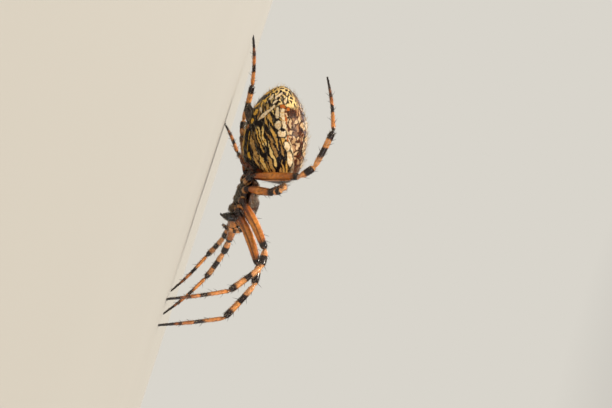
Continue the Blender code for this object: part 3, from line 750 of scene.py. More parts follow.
def shieldShape(along, side, top):
    def dome(centre, reach, power):
        return max(0.0, 1 - abs((along - centre) / reach) ** power) ** (1 / power)

    def softMax(a, b, ease=0.06):
        return (a + b + math.sqrt((a - b) ** 2 + ease * ease)) / 2 - ease / 2

    length = (shield["front"] - shield["rear"]) / 2 - shield["inset"]
    middle = (shield["front"] + shield["rear"]) / 2
    thorax, head = dome(*shield["thoraxDome"]), dome(*shield["headDome"])
    halfWidth = softMax(shield["thoraxHalfWidth"] * thorax, shield["headHalfWidth"] * head) - shield["inset"]
    height = softMax(shield["thoraxHeight"] * thorax, shield["headHeight"] * head) - shield["inset"]
    closed = math.sqrt(max(0.0, 1 - abs(along) ** 12))
    halfWidth, height = max(0.0, halfWidth) * closed, max(0.0, height) * closed
    upper, out = max(0.0, top), abs(side)
    onTop = smoothStep(0.02, 0.3, upper)
    # a short pit behind the middle, furrows that fan out from it, and grooves that mark the head off
    pit = shield["pitDepth"] * bell(along, -0.2, 0.12) * upper**8
    furrow = 0.0
    if along < 0.3 and upper > 0.05:
        bearing = math.atan2(out * halfWidth, along * length + 0.45)
        wave = 0.5 + 0.5 * math.cos(bearing * shield["furrows"])
        furrow = shield["furrowDepth"] * wave * smoothStep(0.1, 0.5, out) * onTop
    neck = shield["neckDepth"] * bell(along, 0.02 + 0.22 * out, 0.05) * smoothStep(0.25, 0.6, out) * onTop
    furrow += neck
    rise = height * upper**0.9 * (1 - pit) - furrow * 0.8 if top > 0 else 0.05 * top
    return middle + length * along, halfWidth * side * (1 - furrow * 0.5), shield["base"] + rise


def makeShell(name, dark, pale, roughness, poreGap):
    # tanned cuticle: dark, hard and polished, with fine leathery grain and paler where it thins
    material, tree = newMaterial(name, {"IOR": 1.54})
    coords = addNode(tree, "TexCoord", take="Object")
    clouds = addNode(tree, "TexNoise", {"Vector": coords, "Scale": 1.6 / mm, "Detail": 4.0, "Roughness": 0.6})
    clouds = addNode(tree, "MapRange", (clouds, 0.38, 0.66))
    tones = {0: clouds, 6: linearColour(dark), 7: linearColour(pale)}
    colour = addNode(tree, "Mix", tones, 2, data_type="RGBA")
    pores = addNode(tree, "TexVoronoi", {"Vector": coords, "Scale": 1 / (poreGap * mm)}, "Distance")
    rough = addNode(tree, "TexNoise", {"Vector": coords, "Scale": 9 / mm, "Detail": 3.0})
    relief = addNode(tree, "Math", (pores, 0.5, rough), operation="MULTIPLY_ADD")
    bump = addNode(tree, "Bump", {"Height": relief, "Strength": 0.4, "Distance": 0.02 * mm})
    gloss = addNode(tree, "MapRange", (rough, 0.3, 0.7, roughness - 0.06, roughness + 0.08))
    return plugIn(material, {"Base Color": colour, "Normal": bump, "Roughness": gloss})


shellLooks = {  # darkest and palest tone, roughness, mm from pore to pore
    "shieldCuticle": ("#1c100b", "#583018", 0.3, 0.12),  # polished, chestnut where it thins
    "breastplateCuticle": ("#0e0809", "#24140f", 0.3, 0.12),  # nearly black
    "jawCuticle": ("#0b0706", "#1c100b", 0.22, 0.08),  # black and the glossiest
    "mouthplateCuticle": ("#3a2416", "#8c6a45", 0.45, 0.12),  # pale and dull
    "spinneretCuticle": ("#17100d", "#3c281c", 0.42, 0.06),  # dull, with close grain
    "waistCuticle": ("#24130e", "#5c3820", 0.34, 0.12),
    "genitalPlateCuticle": ("#2e1a10", "#6f3c20", 0.28, 0.1),  # reddish and hard
    "jointMembrane": ("#140c0e", "#4a2c20", 0.34, 0.12),  # soft; its dark tones are painted shade, for where it lies between the shield and the leg roots
}
shells = {name: makeShell(name, *look) for name, look in shellLooks.items()}

carapace = shapedBall(*shield["grid"], shieldShape)
finishPiece("carapaceShell", carapace, shells["shieldCuticle"], ["carapace"])

wall = {"halfLength": 1.62, "halfWidth": 1.3, "halfHeight": 0.42, "up": -0.28, "grid": (48, 24)}


def wallShape(along, side, top):
    # the soft wall between the shield above and the breastplate and leg roots below
    girth = math.sqrt(max(0.0, 1 - along * along))
    return (
        wall["halfLength"] * along, wall["halfWidth"] * girth * side,
        wall["up"] + wall["halfHeight"] * girth * top,
    )


membrane = shapedBall(*wall["grid"], wallShape)
# the membrane's dark colour is painted shade for the gap between the shield above and the breastplate and leg
# roots below
finishPiece("jointMembrane", membrane, shells["jointMembrane"])

breastplate = {
    "halfLength": 1.14, "halfWidth": 0.84, "widening": 0.22, "top": -0.14, "bottom": -0.97,
    "humps": (0.62, 0.22, -0.2, -0.62), "humpReach": 0.13, "humpDepth": 0.03, "grid": (64, 48),
}


def breastShape(along, side, top):
    broad = 1 + breastplate["widening"] * along
    halfWidth = breastplate["halfWidth"] * broad * math.sqrt(max(0.0, 1 - along**4))
    swell = math.sqrt(max(0.0, 1 - along**6))
    # low humps that face each leg root
    hump = sum(bell(along, middle, breastplate["humpReach"]) for middle in breastplate["humps"])
    halfWidth *= 1 - 0.05 * (1 - hump)
    if top > 0:
        up = breastplate["top"]
    else:
        up = breastplate["bottom"] - breastplate["humpDepth"] * hump * smoothStep(0.35, 0.75, abs(side))
    middle = (breastplate["top"] + breastplate["bottom"]) / 2
    up = middle + (up * swell - middle) * abs(top) ** 0.6 * swell
    return breastplate["halfLength"] * along, halfWidth * side, up


breast = shapedBall(*breastplate["grid"], breastShape)
finishPiece("breastplate", breast, shells["breastplateCuticle"], ["sternum"])

lip = {
    "centre": (1.2, 0.0, -0.96), "halfLength": 0.2, "halfWidth": 0.3, "halfHeight": 0.12, "grid": (24, 16),
}


def lipShape(along, side, top):
    ahead, _, up = lip["centre"]
    girth = math.sqrt(max(0.0, 1 - abs(along) ** 3))
    return (
        ahead + lip["halfLength"] * along, lip["halfWidth"] * girth * side,
        up + lip["halfHeight"] * girth * top,
    )


finishPiece("lip", shapedBall(*lip["grid"], lipShape), shells["mouthplateCuticle"])

mouthPlate = {
    "centre": (1.56, 0.36, -0.93), "halfLength": 0.35, "halfWidth": 0.28, "halfHeight": 0.23,
    "grid": (32, 24),
}
# lines down each limb of the mouth: ahead, out to its side and up, with the radius at each point; a line's
# grid is its rings and the segments round it
jaw = {
    "line": (
        (2.3, 0.44, -0.12), (2.36, 0.44, -0.35), (2.44, 0.44, -0.8), (2.5, 0.43, -1.25), (2.5, 0.41, -1.48),
    ),
    "radii": (0.26, 0.36, 0.38, 0.33, 0.2), "grid": (24, 28),
}
fang = {
    "line": ((2.52, 0.46, -1.35), (2.56, 0.46, -1.6), (2.48, 0.38, -1.77), (2.34, 0.28, -1.82)),
    "radii": (0.12, 0.1, 0.07, 0.02), "grid": (18, 16),
}
feeler = {
    "line": (
        (2.2, 1.06, -0.78), (2.32, 1.1, -0.52), (2.66, 1.12, 0.0), (3.0, 1.08, 0.34), (3.28, 0.99, 0.42),
        (3.5, 0.88, 0.24), (3.62, 0.76, -0.14), (3.62, 0.62, -0.56), (3.54, 0.5, -0.94), (3.4, 0.4, -1.24),
    ),
    "radii": (0.16, 0.2, 0.22, 0.19, 0.21, 0.2, 0.17, 0.2, 0.16, 0.09),
    "grid": (72, 24),
    "joints": (0.13, 0.36, 0.52, 0.72), "jointReach": 0.014, "jointDepth": 0.16,
    # it wears the leg's bands in the same order: shares along it, and the leg's station at each
    "shares": (0, 0.13, 0.36, 0.52, 0.72, 1), "stations": (0.9, 1.0, 2.0, 2.95, 3.55, 4.0),
}
waist = {
    "line": ((-1.5, 0, -0.36), (-1.8, 0, -0.38), (-2.35, 0, -0.28), (-2.75, 0, 0.05), (-3.3, 0, 0.5)),
    "radii": (0.18, 0.28, 0.3, 0.38, 0.4), "grid": (24, 24),
}


def mouthPlateShape(side):
    # the shape of the mouth plate on that side
    ahead, left, up = mouthPlate["centre"]

    def shape(along, out, top):
        girth = math.sqrt(max(0.0, 1 - along**4))
        narrowed = 1 - 0.1 * smoothStep(0.2, 1.0, along)
        return (
            ahead + mouthPlate["halfLength"] * along,
            side * left + mouthPlate["halfWidth"] * girth * out * narrowed,
            up + mouthPlate["halfHeight"] * girth * top,
        )

    return shape


feelerRings = {}
for sideName, side in sides.items():
    cap = sideName.capitalize()
    ball = shapedBall(*mouthPlate["grid"], mouthPlateShape(side))
    finishPiece(f"mouthPlate{cap}", ball, shells["mouthplateCuticle"], [f"maxilla_{sideName}"])
    tube = smoothTube(bodyLine(jaw["line"], side), jaw["radii"], *jaw["grid"])
    finishPiece(f"jaw{cap}", tube, shells["jawCuticle"], [f"chelicera_{sideName}"])
    tube = smoothTube(bodyLine(fang["line"], side), fang["radii"], *fang["grid"])
    finishPiece(f"fang{cap}", tube, shells["jawCuticle"])
    count, segments = feeler["grid"]
    points, radii = denser(bodyLine(feeler["line"], side), feeler["radii"], count)
    shares = [i / (count - 1) for i in range(count)]
    stations = [float(np.interp(share, feeler["shares"], feeler["stations"])) for share in shares]
    for i, share in enumerate(shares):
        narrowed = sum(bell(share, joint, feeler["jointReach"]) for joint in feeler["joints"])
        radii[i] *= 1 - feeler["jointDepth"] * narrowed
    rings = sweepLine(*roundEnds(points, radii, stations))
    feelerRings[sideName] = [
        (bodyPlace @ centre, radius, *(bodyTurn @ way for way in ways), station)
        for centre, radius, *ways, station in rings
    ]
    tube = rollTube(rings, segments)
    finishPiece(f"feeler{cap}", tube, legSkin, [f"palp_{sideName}"])

tube = smoothTube(bodyLine(waist["line"]), waist["radii"], *waist["grid"])
finishPiece("waist", tube, shells["waistCuticle"], ["pedicel"])
print("front body made")


# Eyes: black lenses, wet-looking, each in a low collar

eyes = {
    "dark": "#070505", "pale": "#1c0e08", "segments": 32, "rings": 20,
    "lidRings": 16, "lidReach": 1.28, "lidFlatness": 0.62, "lidSink": 0.07,
    "headMiddle": (0.9, 0.0, 0.3),  # lids face away from this point
}


def makeLens():
    # a clear polished lens over black: one hard highlight
    material, tree = newMaterial("eyeLens", {"Roughness": 0.05, "IOR": 1.5, "Coat Weight": 0.6})
    coords = addNode(tree, "TexCoord", take="Object")
    depth = addNode(tree, "TexNoise", {"Vector": coords, "Scale": 4 / mm})
    tones = {0: depth, 6: linearColour(eyes["dark"]), 7: linearColour(eyes["pale"])}
    return plugIn(material, {"Base Color": addNode(tree, "Mix", tones, 2, data_type="RGBA")})


eyeLens = makeLens()
headMiddle = bodyPlace @ bodyPoint(*eyes["headMiddle"])
for name in sorted(nodes):
    if name.startswith("eye_"):
        low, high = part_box(name)
        middle, radius = (low + high) / 2 / mm, (high - low).x / 2 / mm
        ball = bmesh.new()
        bmesh.ops.create_uvsphere(ball, u_segments=eyes["segments"], v_segments=eyes["rings"], radius=radius)
        finishPiece("lens" + name[3:], ball, eyeLens, [name], Matrix.Translation(middle))
        collar = bmesh.new()
        bmesh.ops.create_uvsphere(
            collar, u_segments=eyes["segments"], v_segments=eyes["lidRings"], radius=radius * eyes["lidReach"]
        )
        bmesh.ops.scale(collar, vec=(1, 1, eyes["lidFlatness"]), verts=collar.verts)
        outward = (middle - headMiddle).normalized()
        turn = Vector((0, 0, 1)).rotation_difference(outward).to_matrix().to_4x4()
        lidPlace = Matrix.Translation(middle - outward * eyes["lidSink"]) @ turn
        finishPiece("lid" + name[3:], collar, shells["shieldCuticle"], (), lidPlace)
print("eyes made")


# Under the abdomen: silk spinners and the genital plate

spinners = {
    # the mound they stand on
    "ahead": -7.7, "halfLength": 0.76, "halfWidth": 0.68, "height": 0.42, "folds": 16, "foldDepth": 0.05,
    "moundGrid": (48, 40),
    # ahead of the mound's middle, out to each side, length, radius
    "pairs": {"Front": (0.3, 0.3, 1.0, 0.28), "Rear": (-0.3, 0.28, 0.85, 0.23)},
    "shares": (-0.2, 0.1, 0.35, 0.55, 0.75, 0.97), "thinning": (1, 1.0, 0.95, 0.8, 0.72, 0.36),
    "wrinkleDepth": 0.045, "wrinkleTurn": 1.25, "inward": 0.14, "grid": (44, 24),
}
genital = {
    "ahead": -2.95, "rearAhead": -3.85, "halfLength": 0.41, "halfWidth": 0.5, "halfHeight": 0.25,
    "pitDepth": 0.1, "pitOut": 0.55, "pitReach": 0.22, "grid": (48, 32),
    "tongueLine": ((-0.1, 0.1), (0.3, 0.33), (0.75, 0.35), (1.08, 0.24)),  # back and out from the plate
    "tongueRadii": (0.13, 0.14, 0.12, 0.06), "tongueGrid": (24, 20),
}


def bellyPoint(ahead, steps=400):
    # the abdomen's lower middle line at that place, in the body's frame, and the way out of it
    into = bodyPlace.inverted() @ abdomenPlace
    line = {
        along: into @ bodyPoint(*abdomenShape(along, 0, -1))
        for along in (-1 + 2 * i / (steps - 1) for i in range(steps))
    }
    along = min(line, key=lambda place: abs(-line[place].y - ahead))
    onward = into @ bodyPoint(*abdomenShape(min(1, along + 0.01), 0, -1))
    way = (onward - line[along]).normalized()
    return line[along], Vector((0, way.z, -way.y)) * (1 if way.y > 0 else -1)


moundSpot, moundOut = bellyPoint(spinners["ahead"])
tilt = (moundOut * 0.85 + bodyPoint(-1, 0, 0) * 0.5).normalized()


def moundShape(along, side, top):
    girth = math.sqrt(max(0.0, 1 - along * along))
    girth *= 1 - spinners["foldDepth"] * (0.5 + 0.5 * math.cos(along * spinners["folds"]))
    return (
        -moundSpot.y + spinners["halfLength"] * along, spinners["halfWidth"] * girth * side,
        moundSpot.z + spinners["height"] * girth * top,
    )


silkShell = shells["spinneretCuticle"]
mound = shapedBall(*spinners["moundGrid"], moundShape)
finishPiece("spinnerMound", mound, silkShell, ["spinnerets"])
count, segments = spinners["grid"]
for placeName, (ahead, spread, length, radius) in spinners["pairs"].items():
    for sideName, side in sides.items():
        foot = moundSpot + Vector((side * spread, -ahead, 0))
        tip = foot + (tilt + Vector((-side * spinners["inward"], 0, 0))) * length
        line = [foot.lerp(tip, share) for share in spinners["shares"]]
        line, radii = denser(line, [radius * share for share in spinners["thinning"]], count)
        for i in range(count):  # ringed wrinkles
            radii[i] *= 1 + spinners["wrinkleDepth"] * math.cos(i * spinners["wrinkleTurn"])
        stations = [i / (count - 1) for i in range(count)]
        cone = rollTube(sweepLine(*roundEnds(line, radii, stations)), segments)
        finishPiece(f"spinner{placeName}{sideName.capitalize()}", cone, silkShell)

plateSpot, plateOut = bellyPoint(genital["ahead"])
plateBack = (bellyPoint(genital["rearAhead"])[0] - plateSpot).normalized()


def genitalShape(along, side, top):
    girth = math.sqrt(max(0.0, 1 - along * along))
    pit = genital["pitDepth"] * bell(abs(side), genital["pitOut"], genital["pitReach"]) if top > 0 else 0
    place = plateSpot - plateBack * genital["halfLength"] * along
    place = place + plateOut * (genital["halfHeight"] - pit) * girth * top
    return -place.y, genital["halfWidth"] * girth * side, place.z


plateShell = shells["genitalPlateCuticle"]
ball = shapedBall(*genital["grid"], genitalShape)
finishPiece("genitalPlate", ball, plateShell, ["epigyne"])
line = [plateSpot + plateBack * back + plateOut * out for back, out in genital["tongueLine"]]
tongue = smoothTube(line, genital["tongueRadii"], *genital["tongueGrid"])
finishPiece("genitalTongue", tongue, plateShell)
print("underside made")


# Hairs, spines and claws: joined meshes of thin closed cones, each bent along the lie of the coat

coat = {
    "steps": 12,  # a bent hair is worked out in this many straight steps
    "sink": 0.02,  # mm that a root stands inside the skin
    "strayLie": 0.2, "strayLift": 7,  # how far hairs stray, as a share of the lie and in degrees
    # count, shortest and longest mm, root radius mm, degrees of lift from the skin and of bend towards it
    "abdomenDown": (4600, 0.14, 0.32, 0.0075, 30, 18), "abdomenBristles": (1500, 0.4, 0.78, 0.0095, 50, 30),
    "shieldDown": (2600, 0.14, 0.3, 0.0075, 24, 16), "breastDown": (900, 0.16, 0.32, 0.008, 36, 20),
    "legDown": (1250, 0.14, 0.36, 0.0078, 34, 20), "feelerDown": (620, 0.1, 0.26, 0.0075, 36, 18),
    "mouthFringe": (260, 0.12, 0.26, 0.0085, 45, 10), "jawDown": (170, 0.14, 0.3, 0.0085, 40, 15),
    "spinnerDown": (160, 0.1, 0.22, 0.0075, 42, 20),
    # each hair has a tone from 0 to 1, dark to pale, and the abdomen's two kinds share that range
    "abdomenTones": {"abdomenDown": (0.0, 0.45), "abdomenBristles": (0.4, 1.0)},
    "abdomenPale": "#dccba6", "legDark": "#1c1010", "legPale": "#e0cdb0",
    "frontTones": ((0.0, "#281a10"), (0.5, "#60462e"), (0.75, "#cab690"), (1.0, "#f4ecda")),
    "spineDark": "#0d0908", "spinePale": "#2a1812",
    # by the leg's station: how many hairs, and how long they are
    "legDensity": ((0, 1.2), (0.9, 0.9), (1.1, 0.5), (2, 0.7), (3, 1.2), (4, 1.5), (5, 2.2), (6, 2.4)),
    "legLengths": ((0, 1.0), (1, 0.85), (4, 1.0), (4.9, 0.9), (5.2, 0.62), (6, 0.5)),
}
# a hair's make: corners of its section, and the steps where it has a ring, with the ring's share of the root
hairMake = {"corners": 3, "thinning": {5: 0.8, 9: 0.5}}
spineMake = {"corners": 5, "thinning": {4: 0.8, 8: 0.5, 10: 0.28}}
clawMake = {"corners": 6, "thinning": {3: 0.85, 6: 0.6, 9: 0.35}}
rng = np.random.default_rng(7)


def normalised(rows):
    return rows / np.maximum(np.linalg.norm(rows, axis=-1, keepdims=True), 1e-9)


def straightHair(corners, thinning):
    # one straight hair: a cone a step high for each step of the bend, cut by rings and thinned at each
    hair = bmesh.new()
    bmesh.ops.create_cone(
        hair, cap_ends=True, segments=corners, radius1=1, radius2=0, depth=coat["steps"],
        matrix=Matrix.Translation((0, 0, coat["steps"] / 2)),
    )
    for cut in thinning:
        geometry = hair.verts[:] + hair.edges[:] + hair.faces[:]
        bmesh.ops.bisect_plane(hair, geom=geometry, plane_co=(0, 0, cut), plane_no=(0, 0, 1))
    for vertex in hair.verts:
        step = round(vertex.co.z)
        if step in thinning:
            widened = thinning[step] / math.hypot(vertex.co.x, vertex.co.y)
            vertex.co.x *= widened
            vertex.co.y *= widened
    return hair


def growHairs(name, roots, material, make):
    # copies one straight hair to every root and bends each copy step by step; roots holds arrays, in mm:
    # spot, out and lie in the model's frame, length, radius, lift, curl, chart, station, tone
    out = normalised(roots["out"])
    lie = normalised(roots["lie"] - out * (roots["lie"] * out).sum(1, keepdims=True))
    side = np.cross(lie, out)
    line, ways = [roots["spot"] - out * coat["sink"]], []
    for step in range(coat["steps"] + 1):
        bend = (roots["lift"] - roots["curl"] * step / coat["steps"])[:, None]
        ways.append(lie * np.cos(bend) + out * np.sin(bend))
        if step:
            line.append(line[-1] + ways[-1] * (roots["length"] / coat["steps"])[:, None])
    hair = straightHair(**make)
    straight = bpy.data.meshes.new(name + "Straight")
    hair.to_mesh(straight)
    hairs = bmesh.new()
    for _ in out:
        hairs.from_mesh(straight)
    mesh = bpy.data.meshes.new(name)
    hairs.to_mesh(mesh)
    hairs.free()
    places, chart = [], []
    for x, y, z in [vertex.co for vertex in hair.verts]:
        step = round(z)
        across = side * x + np.cross(ways[step], side) * y
        places.append(line[step] + across * roots["radius"][:, None])
        chart.append(roots["chart"] + np.array((x / 2, z / coat["steps"] - 0.5)) * 0.003)
    hair.free()
    places = np.stack(places, axis=1) * mm
    places[:, :, 2] = np.maximum(places[:, :, 2], 0.0)
    mesh.vertices.foreach_set("co", places.astype(np.float32).ravel())
    owner = np.zeros(len(mesh.loops), np.int32)
    mesh.loops.foreach_get("vertex_index", owner)
    chart = np.stack(chart, axis=1).reshape(-1, 2)
    mesh.uv_layers.new(name="OFBake").data.foreach_set("uv", chart[owner].astype(np.float32).ravel())
    for attribute in ("station", "tone"):
        values = np.repeat(roots[attribute], places.shape[1]).astype(np.float32)
        mesh.attributes.new(attribute, "FLOAT", "POINT").data.foreach_set("value", values)
    mesh.update()
    return addPiece(name, mesh, material)


def hairRows(spot, out, lie, chart, kind, station=0.0, scale=1.0):
    # the roots' own lengths, lifts, bends and tones, drawn at random about what coat says of that kind
    _, short, long, radius, lift, curl = coat[kind]
    count = len(spot)
    lie = normalised(lie) + rng.normal(0, coat["strayLie"], (count, 3))
    return {
        "spot": spot, "out": out, "lie": lie, "chart": chart,
        "length": (short + (long - short) * rng.random(count)) * scale,
        "radius": radius * (0.8 + 0.4 * rng.random(count)),
        "lift": np.radians(lift + rng.normal(0, coat["strayLift"], count)),
        "curl": np.radians(curl * (0.6 + 0.8 * rng.random(count))),
        "tone": rng.random(count), "station": np.full(count, station),
    }


def readRows(rows, key, number):
    # three numbers of that type for each row of a mesh
    values = np.empty(len(rows) * 3, number)
    rows.foreach_get(key, values)
    return values.reshape(-1, 3)


def rootsOn(piece, kind, lieOf, chartOf, keep=None):
    # hairs scattered evenly over a skin; lieOf, chartOf and keep take the places and ways out, in mm
    mesh = piece.data
    mesh.calc_loop_triangles()
    places = readRows(mesh.vertices, "co", np.float32) / mm
    outs = readRows(mesh.vertex_normals, "vector", np.float32)
    corners = readRows(mesh.loop_triangles, "vertices", np.int32)
    # a ball's faces are listed differently in each run, so its triangles are put in one order first
    first = corners.argmin(1)[:, None]
    corners = np.take_along_axis(corners, (first + np.arange(3)) % 3, axis=1)
    corners = corners[np.lexsort(corners.T[::-1])]
    a, b, c = (places[corners[:, i]] for i in range(3))
    areas = np.linalg.norm(np.cross(b - a, c - a), axis=1)
    if keep is not None:
        areas = areas * keep((a + b + c) / 3, normalised(outs[corners].mean(1)))
    chosen = rng.choice(len(areas), coat[kind][0], p=areas / areas.sum())
    u, v = rng.random((2, len(chosen)))
    flip = u + v > 1
    u[flip], v[flip] = 1 - u[flip], 1 - v[flip]
    shares = np.stack([1 - u - v, u, v], axis=1)[:, :, None]
    spot = (places[corners[chosen]] * shares).sum(1)
    out = normalised((outs[corners[chosen]] * shares).sum(1))
    return hairRows(spot, out, lieOf(spot), chartOf(spot), kind)


def stripChart(along, turn, strip):
    # where a hair lies on the coat's unwrap: each leg has its own band, along by share and across by turn
    return 0.01 + 0.98 * along, (strip + 0.05 + 0.9 * turn / (2 * math.pi)) / 10


def ringRows(rings, kind, strip, low, high=6.0, density=None):
    # hairs down a leg or feeler, evenly over its skin between two stations
    centres, radii, ways, ups, acrosses, stations = (np.array(values) for values in zip(*rings))
    steps = np.linalg.norm(np.diff(centres, axis=0), axis=1)
    weight = steps * (radii[1:] + radii[:-1] + 0.1)
    middle = (stations[1:] + stations[:-1]) / 2
    weight = weight * ((middle >= low) & (middle <= high)) * (radii[1:] > 0.02) * (radii[:-1] > 0.02)
    if density is not None:
        weight = weight * np.interp(middle, *zip(*density))
    count = coat[kind][0]
    at = rng.choice(len(weight), count, p=weight / weight.sum())
    share = rng.random(count)
    turn = rng.random(count) * 2 * math.pi

    def between(values):
        part = share[:, None] if values.ndim > 1 else share
        return values[at] * (1 - part) + values[at + 1] * part

    up, across, way = (normalised(between(values)) for values in (ups, acrosses, ways))
    out = up * np.cos(turn)[:, None] + across * np.sin(turn)[:, None]
    run = np.concatenate([[0], np.cumsum(steps)])
    chart = np.stack(stripChart(between(run) / run[-1], turn, strip), axis=1)
    station = between(stations)
    scale = np.interp(station, *zip(*coat["legLengths"]))
    spot = between(centres) + out * between(radii)[:, None]
    return hairRows(spot, out, way, chart, kind, station, scale)


def makeHair(name, paint, roughness, specular=0.5):
    # solid chitin, thin and smooth: a fine glint along each hair, and a tone that varies from hair to hair
    material, tree = newMaterial(name, {"Roughness": roughness, "IOR": 1.55, "Specular IOR Level": specular})
    tone = addNode(tree, "Attribute", take="Fac", attribute_name="tone")
    return plugIn(material, {"Base Color": paint(tree, tone)})


def paintAbdomenHair(tree, tone):
    pale = addNode(tree, "MapRange", (tone, 0.25, 1.0, 0.0, 0.8))
    skin = paintAbdomen(tree)[0]
    return addNode(tree, "Mix", {0: pale, 6: skin, 7: linearColour(coat["abdomenPale"])}, 2, data_type="RGBA")


def paintLegHair(tree, tone):
    bands = legBands(tree, addNode(tree, "TexCoord", take="Object"))
    dark, light = linearColour(coat["legDark"]), linearColour(coat["legPale"])
    darker = addNode(tree, "Mix", {0: 0.55, 6: bands, 7: dark}, 2, data_type="RGBA")
    pale = addNode(tree, "MapRange", (tone, 0.66, 0.7, 0.0, 0.8))
    return addNode(tree, "Mix", {0: pale, 6: darker, 7: light}, 2, data_type="RGBA")


def paintFrontHair(tree, tone):
    ramp = addNode(tree, "ValToRGB", (tone,))
    setRamp(ramp.node, coat["frontTones"])
    return ramp


def paintSpine(tree, tone):
    tones = {0: tone, 6: linearColour(coat["spineDark"]), 7: linearColour(coat["spinePale"])}
    return addNode(tree, "Mix", tones, 2, data_type="RGBA")


abdomenHair = makeHair("abdomenHairChitin", paintAbdomenHair, 0.42, 0.2)
legHair = makeHair("legHairChitin", paintLegHair, 0.4)
frontHair = makeHair("frontHairChitin", paintFrontHair, 0.32)
spineShell = makeHair("spineChitin", paintSpine, 0.28)

intoAbdomen = np.array(abdomenPlace.inverted())
turnAbdomen = np.array(abdomenPlace.to_3x3())
intoBody = np.array(bodyPlace.inverted())
turnBody = np.array(bodyTurn)


def within(spot, into):
    # left, back and up of each place, in the frame that into leads to
    return (spot @ into[:3, :3].T + into[:3, 3]).T


def wayFrom(turn, left, back, up):
    # one way for each place, given in the frame that turn leads out of
    return (turn @ np.stack(np.broadcast_arrays(left, back, up))).T


def abdomenChart(spot):
    left, back, up = within(spot, intoAbdomen)
    along = (back + abdomen["frontLength"]) / abdomen["length"]
    return np.stack([0.02 + 0.96 * along, 0.5 + np.arctan2(left, up) / 6.6], axis=1)


def bodyChart(spot):
    left, back, up = within(spot, intoBody)
    return np.stack([0.5 + left / 6, 0.5 + np.arctan2(up + 0.4, -back + 0.3) / 6.6], axis=1)


def lieBackward(spot):
    # back along the abdomen, and a little down its sides
    left = within(spot, intoAbdomen)[0]
    return wayFrom(turnAbdomen, np.sign(left) * 0.25, 1, -0.2)


def lieForward(spot):
    # on the shield the hairs point forwards and in towards the middle
    return wayFrom(turnBody, -0.5 * within(spot, intoBody)[0], -1, 0.15)


def lieInward(spot):
    return wayFrom(turnBody, -0.6 * within(spot, intoBody)[0], 1, 0)


def lieDownward(spot):
    return wayFrom(turnBody, 0 * spot[:, 0], -0.3, -1)


def onUpperSide(spot, out):
    # more hairs on the sides of the head than along its middle
    return ((out @ turnBody)[:, 2] > -0.2) * (0.35 + np.abs(within(spot, intoBody)[0]) / 1.2)


def onLowerSide(spot, out):
    return (out @ turnBody)[:, 2] < 0.1


for kind, tones in coat["abdomenTones"].items():
    rows = rootsOn(abdomenSkin, kind, lieBackward, abdomenChart)
    rows["tone"] = np.interp(rows["tone"], (0, 1), tones)
    growHairs(kind, rows, abdomenHair, hairMake)
# what grows on which piece: piece, kind, the way it lies, the part kept, material, slot
patches = {
    "shieldDown": ("carapaceShell", "shieldDown", lieForward, onUpperSide, frontHair, "carapace_shell"),
    "breastDown": ("breastplate", "breastDown", lieInward, onLowerSide, frontHair, "sternum_shell"),
}
for sideName in sides:
    cap = sideName.capitalize()
    patches[f"mouthFringe{cap}"] = (
        f"mouthPlate{cap}", "mouthFringe", lieForward, onLowerSide, frontHair, "mouth_skin"
    )
    patches[f"jawDown{cap}"] = (f"jaw{cap}", "jawDown", lieDownward, None, frontHair, "jaw_shell")
    for placeName in spinners["pairs"]:
        patches[f"spinnerDown{placeName}{cap}"] = (
            f"spinner{placeName}{cap}", "spinnerDown", lieDownward, None, legHair, "spinneret_skin"
        )
for name, (skinName, kind, lieOf, keep, material, slot) in patches.items():
    rows = rootsOn(bpy.data.objects[skinName], kind, lieOf, bodyChart, keep)
    growHairs(name, rows, material, hairMake)

# where spines stand: station, and degrees round the leg from its upper side
spines = {
    "leg": (
        (1.35, 20), (1.55, -25), (1.72, 60), (1.8, -60), (1.87, 15), (2.12, 0), (2.85, 5), (2.5, 75),
        (2.5, -75), (3.15, 60), (3.2, -65), (3.32, 12), (3.42, 130), (3.46, -130), (3.6, 55), (3.64, -60),
        (3.76, -8), (3.84, 125), (3.86, -125), (3.95, 70), (3.96, -70), (4.12, 50), (4.16, -55), (4.28, 140),
        (4.36, -140), (4.5, 60), (4.56, -60), (4.72, 130), (4.78, -130), (4.92, 65), (4.93, -65), (4.95, 170),
    ),
    "feeler": (
        (2.3, 10), (3.0, 60), (3.1, -60), (3.3, 10), (3.5, 60), (3.6, -60), (3.7, 0), (3.8, 100),
        (3.84, -100), (3.92, 40),
    ),
    "legSize": (0.62, 0.026), "feelerSize": (0.34, 0.016),  # length and root radius, mm
    "lift": 58, "footShare": 0.8,  # degrees; a foot's spines are shorter
}
claws = {
    "turns": ((26, 0.24), (-26, 0.24), (0, 0.13)),  # degrees to the side, and length
    "ring": -6, "radius": 0.026, "lift": 0.75, "curl": 2.1, "level": 0.35, "spread": 0.55,
}


def spinesOn(rings, rows, length, radius, strip):
    # each spine stands on the ring nearest to its station, a little off its row
    stations = np.array([ring[5] for ring in rings])
    made = []
    for station, turn in rows:
        i = int(np.abs(stations - station - rng.normal(0, 0.015)).argmin())
        centre, thick, way, up, across, _ = rings[i]
        turn = math.radians(turn + rng.normal(0, 9))
        out = up * math.cos(turn) + across * math.sin(turn)
        made.append({
            "spot": centre + out * thick, "out": out, "lie": way,
            "length": length * rng.uniform(0.75, 1.15) * (spines["footShare"] if station > 4.4 else 1),
            "radius": radius * rng.uniform(0.85, 1.1),
            "lift": math.radians(spines["lift"] + rng.normal(0, 7)),
            "curl": math.radians(rng.uniform(8, 26)),
            "chart": stripChart(i / len(rings), turn % (2 * math.pi), strip),
            "station": station, "tone": rng.random(),
        })
    return joinedRows(made)


def joinedRows(made):
    return {key: np.array([row[key] for row in made], float) for key in made[0]}


